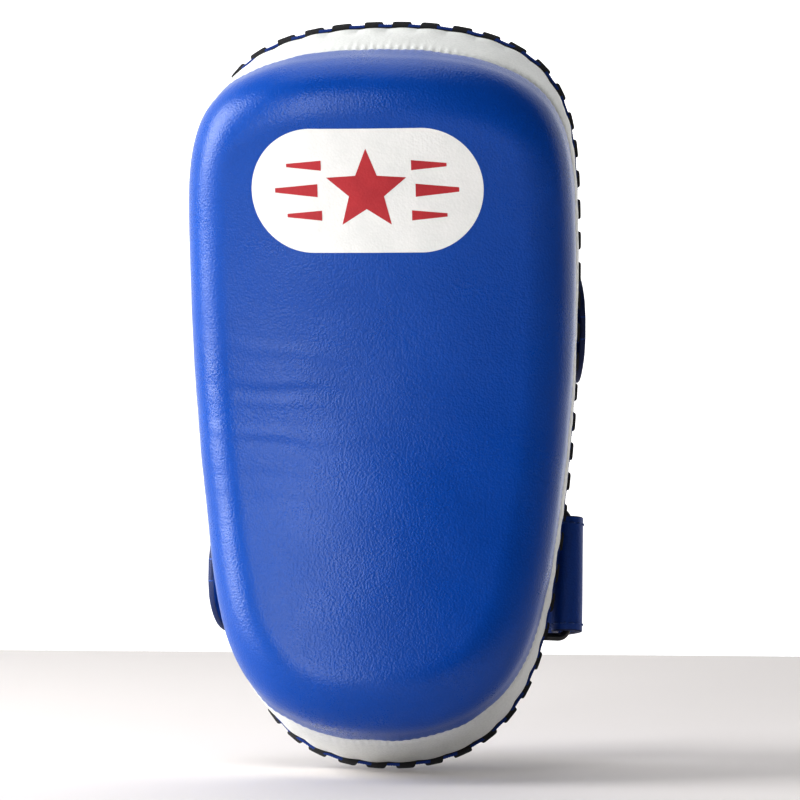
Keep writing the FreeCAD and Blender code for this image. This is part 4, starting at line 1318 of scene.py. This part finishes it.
def make_cushion():
    """Three sewn ribs of padding down the back, under the forearm."""
    half, end = CUSHION_WIDTH / 2, CUSHION_LENGTH / 2
    x = np.linspace(-half, half, 24 * CLOTH_STEP + 1)
    s = np.linspace(-end, end, 48 * CLOTH_STEP + 1)
    grid_s, grid_x = np.meshgrid(s, x, indexing="ij")
    corner = 4.5
    over_x = np.maximum(np.abs(grid_x) - (half - corner), 0)
    over_s = np.maximum(np.abs(grid_s) - (end - corner), 0)
    over = np.hypot(over_x, over_s)
    pull = np.where(over > 0, np.maximum(over_x, over_s) / np.maximum(over, 1e-9), 1.0)
    grid_x = np.sign(grid_x) * (np.minimum(np.abs(grid_x), half - corner) + over_x * pull)
    grid_s = np.sign(grid_s) * (np.minimum(np.abs(grid_s), end - corner) + over_s * pull)
    edge = np.minimum((half - np.abs(grid_x)) / 7.0, (end - np.abs(grid_s)) / 2.6)
    edge = np.minimum(edge, (corner - over * pull) / 2.6)
    dome = np.sqrt(1 - (1 - np.clip(edge, 0, 1)) ** 2)
    rib = np.abs(np.sin(math.pi * (grid_x + half) / (CUSHION_WIDTH / 3)))
    soft = rib ** 0.55
    flat = np.stack([grid_x, grid_s, np.zeros_like(grid_x)], -1)
    wrinkle = waves(flat * [2.2, 1.0, 1.0], 20.0, SEED + 9) * 0.2 + waves(flat, 60.0, SEED + 10) * 0.2
    tug = np.cos(grid_s * 2 * math.pi / 4.2) * np.exp(-(rib / 0.35) ** 2) * 0.22
    height = 0.35 + dome * (7.3 + 4.9 * soft + wrinkle * soft + tug)
    place = grid_s + CUSHION_MIDDLE
    pinned = np.zeros((49, 25), bool)
    pinned[[0, -1], :] = pinned[:, [0, -1]] = pinned[:, [8, 16]] = True
    coarse = tuple(v[::CLOTH_STEP, ::CLOTH_STEP] for v in (grid_x, place, -height))
    puffed = puff(world(*coarse), pinned, False, 0.4)
    rows = np.arange(grid_x.shape[0]) / CLOTH_STEP
    height = height + finer(puffed, rows, np.arange(grid_x.shape[1]) / CLOTH_STEP) * dome
    top = world(grid_x, place, -height)
    bottom = world(grid_x, place, np.full(grid_x.shape, -0.32))
    build = Build()
    build.grid(top)
    build.grid(bottom[:, ::-1])
    for line in (-half / 3, half / 3):
        along = np.linspace(-end + 4, end - 4, 240) + CUSHION_MIDDLE
        points = world(np.full(240, line), along, np.full(240, -7.75))
        outer = world(np.full(240, line), along, np.full(240, -8.75))
        stitch_row(build, points, unit_rows(outer - points), 3.2, 1.0, 0.42, slot=1)
    obj = build.object("cushion_leather", [cushion_black, thread_black], merge=1e-6)
    return settle(obj, "pad", "cushion_leather", "cushion_cover")


# ---- handle ----

TAB_INNER = GRIP_LENGTH / 2 + SIDE_GAP
TAB_OUTER = TAB_INNER + TAB_LEATHER
EAR_INNER = TAB_OUTER + SIDE_GAP
EAR_OUTER = EAR_INNER + EAR_LEATHER


def make_grip():
    """Leather sewn round the roll, its seam and stitches along the underside."""
    build = Build()
    half = GRIP_LENGTH / 2
    radius = GRIP_DIAMETER / 2
    turn = np.arange(120) / 120 * 2 * math.pi
    up, aside = np.sin(turn), np.cos(turn)
    seam = 0.9 * np.exp(-((turn - math.pi * 1.5) / 0.06) ** 2)
    rows = []
    for x in np.linspace(-half, half, 120):
        across = np.full(120, x)
        size = radius - 0.35 - 1.6 * math.exp(-(half - abs(x)) / 1.2)
        bump = waves(np.column_stack([across, aside * 15, up * 15]), 16.0, SEED + 11)
        reach = size + 0.22 * bump - seam
        rows.append(np.column_stack([across, GRIP_H + up * reach, aside * reach]))
    caps = [np.column_stack([np.full(120, x), np.full(120, GRIP_H), np.zeros(120)]) for x in (-half, half)]
    rows = np.array([caps[0], *rows, caps[1]])
    build.grid(strap_world(rows, HANDLE), close_columns=True)
    for swing in (-0.17, 0.17):
        angle = math.pi * 1.5 + swing
        x = np.linspace(-half + 3, half - 3, 100)
        points = np.column_stack([x, np.full(100, GRIP_H + math.sin(angle) * (radius - 0.35)),
                                  np.full(100, math.cos(angle) * (radius - 0.35))])
        strap_stitches(build, points, [0, math.sin(angle), math.cos(angle)], HANDLE, False, 3.0, 1.0, 0.4)
    obj = build.object("grip_leather", [strap_blue, thread_blue], merge=1e-6)
    settle(obj, "handle", "handle_leather", "handle_cover", "handle_padding")


def stadium_loop(low_h, high_h, radius, count=120):
    """Closed outline round two heights, as (place across, height)."""
    points = []
    for index in range(count):
        angle = 2 * math.pi * index / count
        middle = high_h if math.sin(angle) > 0 else low_h
        points.append((radius * math.cos(angle), middle + radius * math.sin(angle)))
    return even_loop(np.array(points)[::-1], count)


def side_plate(build, outline, low_x, high_x, mirrored):
    """Upright leather plate with softened edges and a stitch line round its outer face."""
    into = inward(outline)
    if np.sum((outline + into)[:, 0] ** 2) > np.sum(outline[:, 0] ** 2):
        into = -into
    middle = np.tile(outline.mean(0), (len(outline), 1))
    rows = [plate_row(middle, low_x)]
    for x, inset in ((low_x, 5.0), (low_x, 0.5), (low_x + 0.5, 0.0), (high_x - 0.5, 0.0), (high_x, 0.5),
                     (high_x, 5.0)):
        rows.append(plate_row(outline + into * inset, x))
    rows.append(plate_row(middle, high_x))
    build.grid(strap_world(np.array(rows), HANDLE, mirrored), close_columns=True)
    line = plate_row(outline + into * 3.0, high_x)
    strap_stitches(build, line, [1, 0, 0], HANDLE, mirrored, 2.6, 0.9, 0.36, closed=True)


def plate_row(outline, x):
    """Outline of (place across, height) as strap points at one place on the handle's axis."""
    return np.column_stack([np.full(len(outline), x), outline[:, 1], outline[:, 0]])


def ear_path():
    middle_x = (EAR_INNER + EAR_OUTER) / 2
    foot_h = EAR_LIFT + EAR_LEATHER / 2
    path = [(middle_x, PIVOT_H + EAR_WIDTH / 2)]
    path += arc_about((middle_x + EAR_BEND, foot_h + EAR_BEND), EAR_BEND, 180, 270)
    path.append((EAR_OUTER + EAR_FOOT, foot_h))
    return path


def make_handle_side(side, mirrored):
    """Tab on the grip's end, the ear that it turns on, and the patch over the ear's foot."""
    build = Build()
    side_plate(build, stadium_loop(PIVOT_H, GRIP_H, TAB_WIDTH / 2), TAB_INNER, TAB_OUTER - 0.1, mirrored)
    obj = build.object(f"handle_tab_leather_{side}", [panel_black, thread_black], merge=1e-6)
    settle(obj, "handle", "tab_leather", f"handle_tab_{side}")

    build = Build()
    path, travelled = along_path(ear_path(), 0.8)
    crown = np.clip(EAR_WIDTH / 2 - travelled, 0, None)
    widths = np.sqrt(np.maximum((EAR_WIDTH / 2) ** 2 - crown ** 2, 1.0))
    strap_mesh(build, path, EAR_LEATHER, widths, HANDLE, mirrored, SEED + 12, wobble=0.04, edge_slot=1)
    obj = build.object(f"handle_ear_leather_{side}", [panel_black, black_edge])
    settle(obj, "pad", "tab_leather", f"handle_ear_{side}")

    build = Build()
    low = EAR_TOP + LAYER_GAP
    flat_patch(build, EAR_OUTER + EAR_BEND + 0.5, EAR_OUTER + EAR_FOOT, 20.0, low, low + PATCH_LEATHER,
               HANDLE, mirrored, False, corner=3.0)
    obj = build.object(f"handle_patch_leather_{side}", [panel_black, thread_black], merge=1e-6)
    settle(obj, "pad", "tab_leather", f"handle_patch_{side}")


def make_handle():
    make_grip()
    for side, mirrored in (("right", False), ("left", True)):
        make_handle_side(side, mirrored)
    pivots, patches = Build(), Build()
    profile = [(r * PIVOT_HEAD_SCALE, h if h > -1 else h / 2) for r, h in DOME]
    top = EAR_TOP + LAYER_GAP + PATCH_LEATHER + LAYER_GAP
    reach = EAR_WIDTH / 2 - 5.5
    for mirrored in (False, True):
        for x, way in ((EAR_OUTER + SIDE_GAP, 1), (TAB_INNER - SIDE_GAP, -1)):
            rivet(pivots, profile, (x, PIVOT_H, 0), (way, 0, 0), HANDLE, mirrored)
        for z in (-reach, reach):
            rivet(patches, DOME, (EAR_OUTER + EAR_FOOT * 0.6, top, z), (0, 1, 0), HANDLE, mirrored)
    obj = pivots.object("handle_pivot_heads", [rivet_steel], merge=1e-6)
    settle(obj, "pad", "rivet_steel", "handle_pivot_rivets")
    obj = patches.object("handle_patch_heads", [rivet_steel], merge=1e-6)
    settle(obj, "pad", "rivet_steel", "handle_patch_rivets")


# ---- nodes that are shown as they are ----

def dress_nodes():
    """Foam sheets and the roll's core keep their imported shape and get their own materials."""
    foams = ("strike_foam", "core_foam", "backer_foam", "cushion_foam")
    for node, material in [*((foam, foam_grey) for foam in foams), ("handle_core", wood)]:
        materials = frame["nodes"][node].data.materials
        materials.clear()
        materials.append(material)


# ---- camera, floor and light ----

CAMERA_SWING = 6.7          # degrees to the pad's right
CAMERA_DISTANCE = 1.9
CAMERA_LENS = 166.5
CAMERA_SHIFT = (0.0138, -0.0062)
TABLE_BACK = 0.84
TABLE_REACH = (3.0, 4.0)    # to each side, and in front
BACKDROP_Y = 2.7
LIGHT_AIM = (0.0, 0.0, 0.2)


def make_camera():
    """Eye at the pad's own middle height, a little to its right."""
    chord_y = BEND_Y + BEND_RADIUS * math.cos(PAD_LENGTH / 2 / BEND_RADIUS)
    target = np.array([0.0, chord_y, BEND_Z]) * MM
    swing = math.radians(CAMERA_SWING)
    data = bpy.data.cameras.new("camera")
    data.lens = CAMERA_LENS
    data.sensor_width = 36.0
    data.shift_x, data.shift_y = CAMERA_SHIFT
    camera = bpy.data.objects.new("camera", data)
    camera.location = target + CAMERA_DISTANCE * np.array([math.sin(swing), -math.cos(swing), 0.0])
    camera.rotation_euler = (math.radians(90), 0, swing)
    bpy.context.scene.collection.objects.link(camera)
    bpy.context.scene.camera = camera


def area_light(name, place, aim, size, power):
    """Rectangular white light turned towards a point."""
    data = bpy.data.lights.new(name, "AREA")
    data.shape = "RECTANGLE"
    data.size, data.size_y = size
    data.energy = power
    light = bpy.data.objects.new(name, data)
    light.location = place
    direction = Vector(aim) - Vector(place)
    light.rotation_euler = direction.to_track_quat("-Z", "Y").to_euler()
    bpy.context.scene.collection.objects.link(light)


def sheet_mesh(name, corners, material):
    """Flat staging sheet of 12 by 12 quads between four corners."""
    low, right, back = (np.array(corner, float) for corner in corners)
    steps = np.linspace(0, 1, 13)
    rows = [[low + (right - low) * a + (back - low) * b for a in steps] for b in steps]
    build = Build()
    build.grid(np.array(rows))
    obj = build.object(name, [material], fix_normals=False)


def make_stage():
    """Pale table top with a plain white backdrop behind it."""
    n = Nodes("table_paper")
    tone = n.noise(2.0, 3.0)
    n.link(n.blend(tone, (0.80, 0.765, 0.75), (0.76, 0.725, 0.71)), n.shader.inputs["Base Color"])
    n.bumps([(n.noise(260.0, 3.0), 0.06)])
    n.set(Roughness=0.85)
    side, front = TABLE_REACH
    sheet_mesh("table_top", ((-side, -front, 0), (side, -front, 0), (-side, TABLE_BACK, 0)), n.material)
    n = Nodes("backdrop_paper")
    tone = n.noise(1.0, 2.0)
    n.link(n.blend(tone, (0.9, 0.9, 0.9), (0.88, 0.88, 0.88)), n.shader.inputs["Base Color"])
    n.set(Roughness=0.9, Emission_Color=(1, 1, 1, 1), Emission_Strength=0.85)
    corners = ((-9, BACKDROP_Y, -2.0), (9, BACKDROP_Y, -2.0), (-9, BACKDROP_Y, 7))
    sheet_mesh("backdrop", corners, n.material)


def make_light():
    """Large soft light from the left, a tall strip left of the camera, weak fill."""
    scene = bpy.context.scene
    world_data = bpy.data.worlds.new("studio")
    scene.world = world_data
    world_data.use_nodes = True
    background = world_data.node_tree.nodes["Background"]
    background.inputs["Color"].default_value = (0.93, 0.96, 1.0, 1.0)
    background.inputs["Strength"].default_value = 0.05
    area_light("key", (-1.50, -0.36, 0.72), LIGHT_AIM, (0.9, 1.3), 35.0)
    area_light("strip", (-0.72, -1.96, 0.45), LIGHT_AIM, (0.46, 2.2), 20.5)
    area_light("top", (-0.2, 0.1, 1.7), (0, 0.05, 0.2), (1.2, 0.9), 5.0)
    scene.view_settings.view_transform = "Standard"
    scene.view_settings.look = "Medium High Contrast"


make_camera()
make_stage()
make_light()
dress_nodes()
make_face()
make_gusset()
make_back_panel()
make_binding()
make_lace()
make_badge()
make_strap("lower", LOWER_STRAP, False)
make_strap("upper", UPPER_STRAP, True)
make_rivets()
make_cushion()
make_handle()
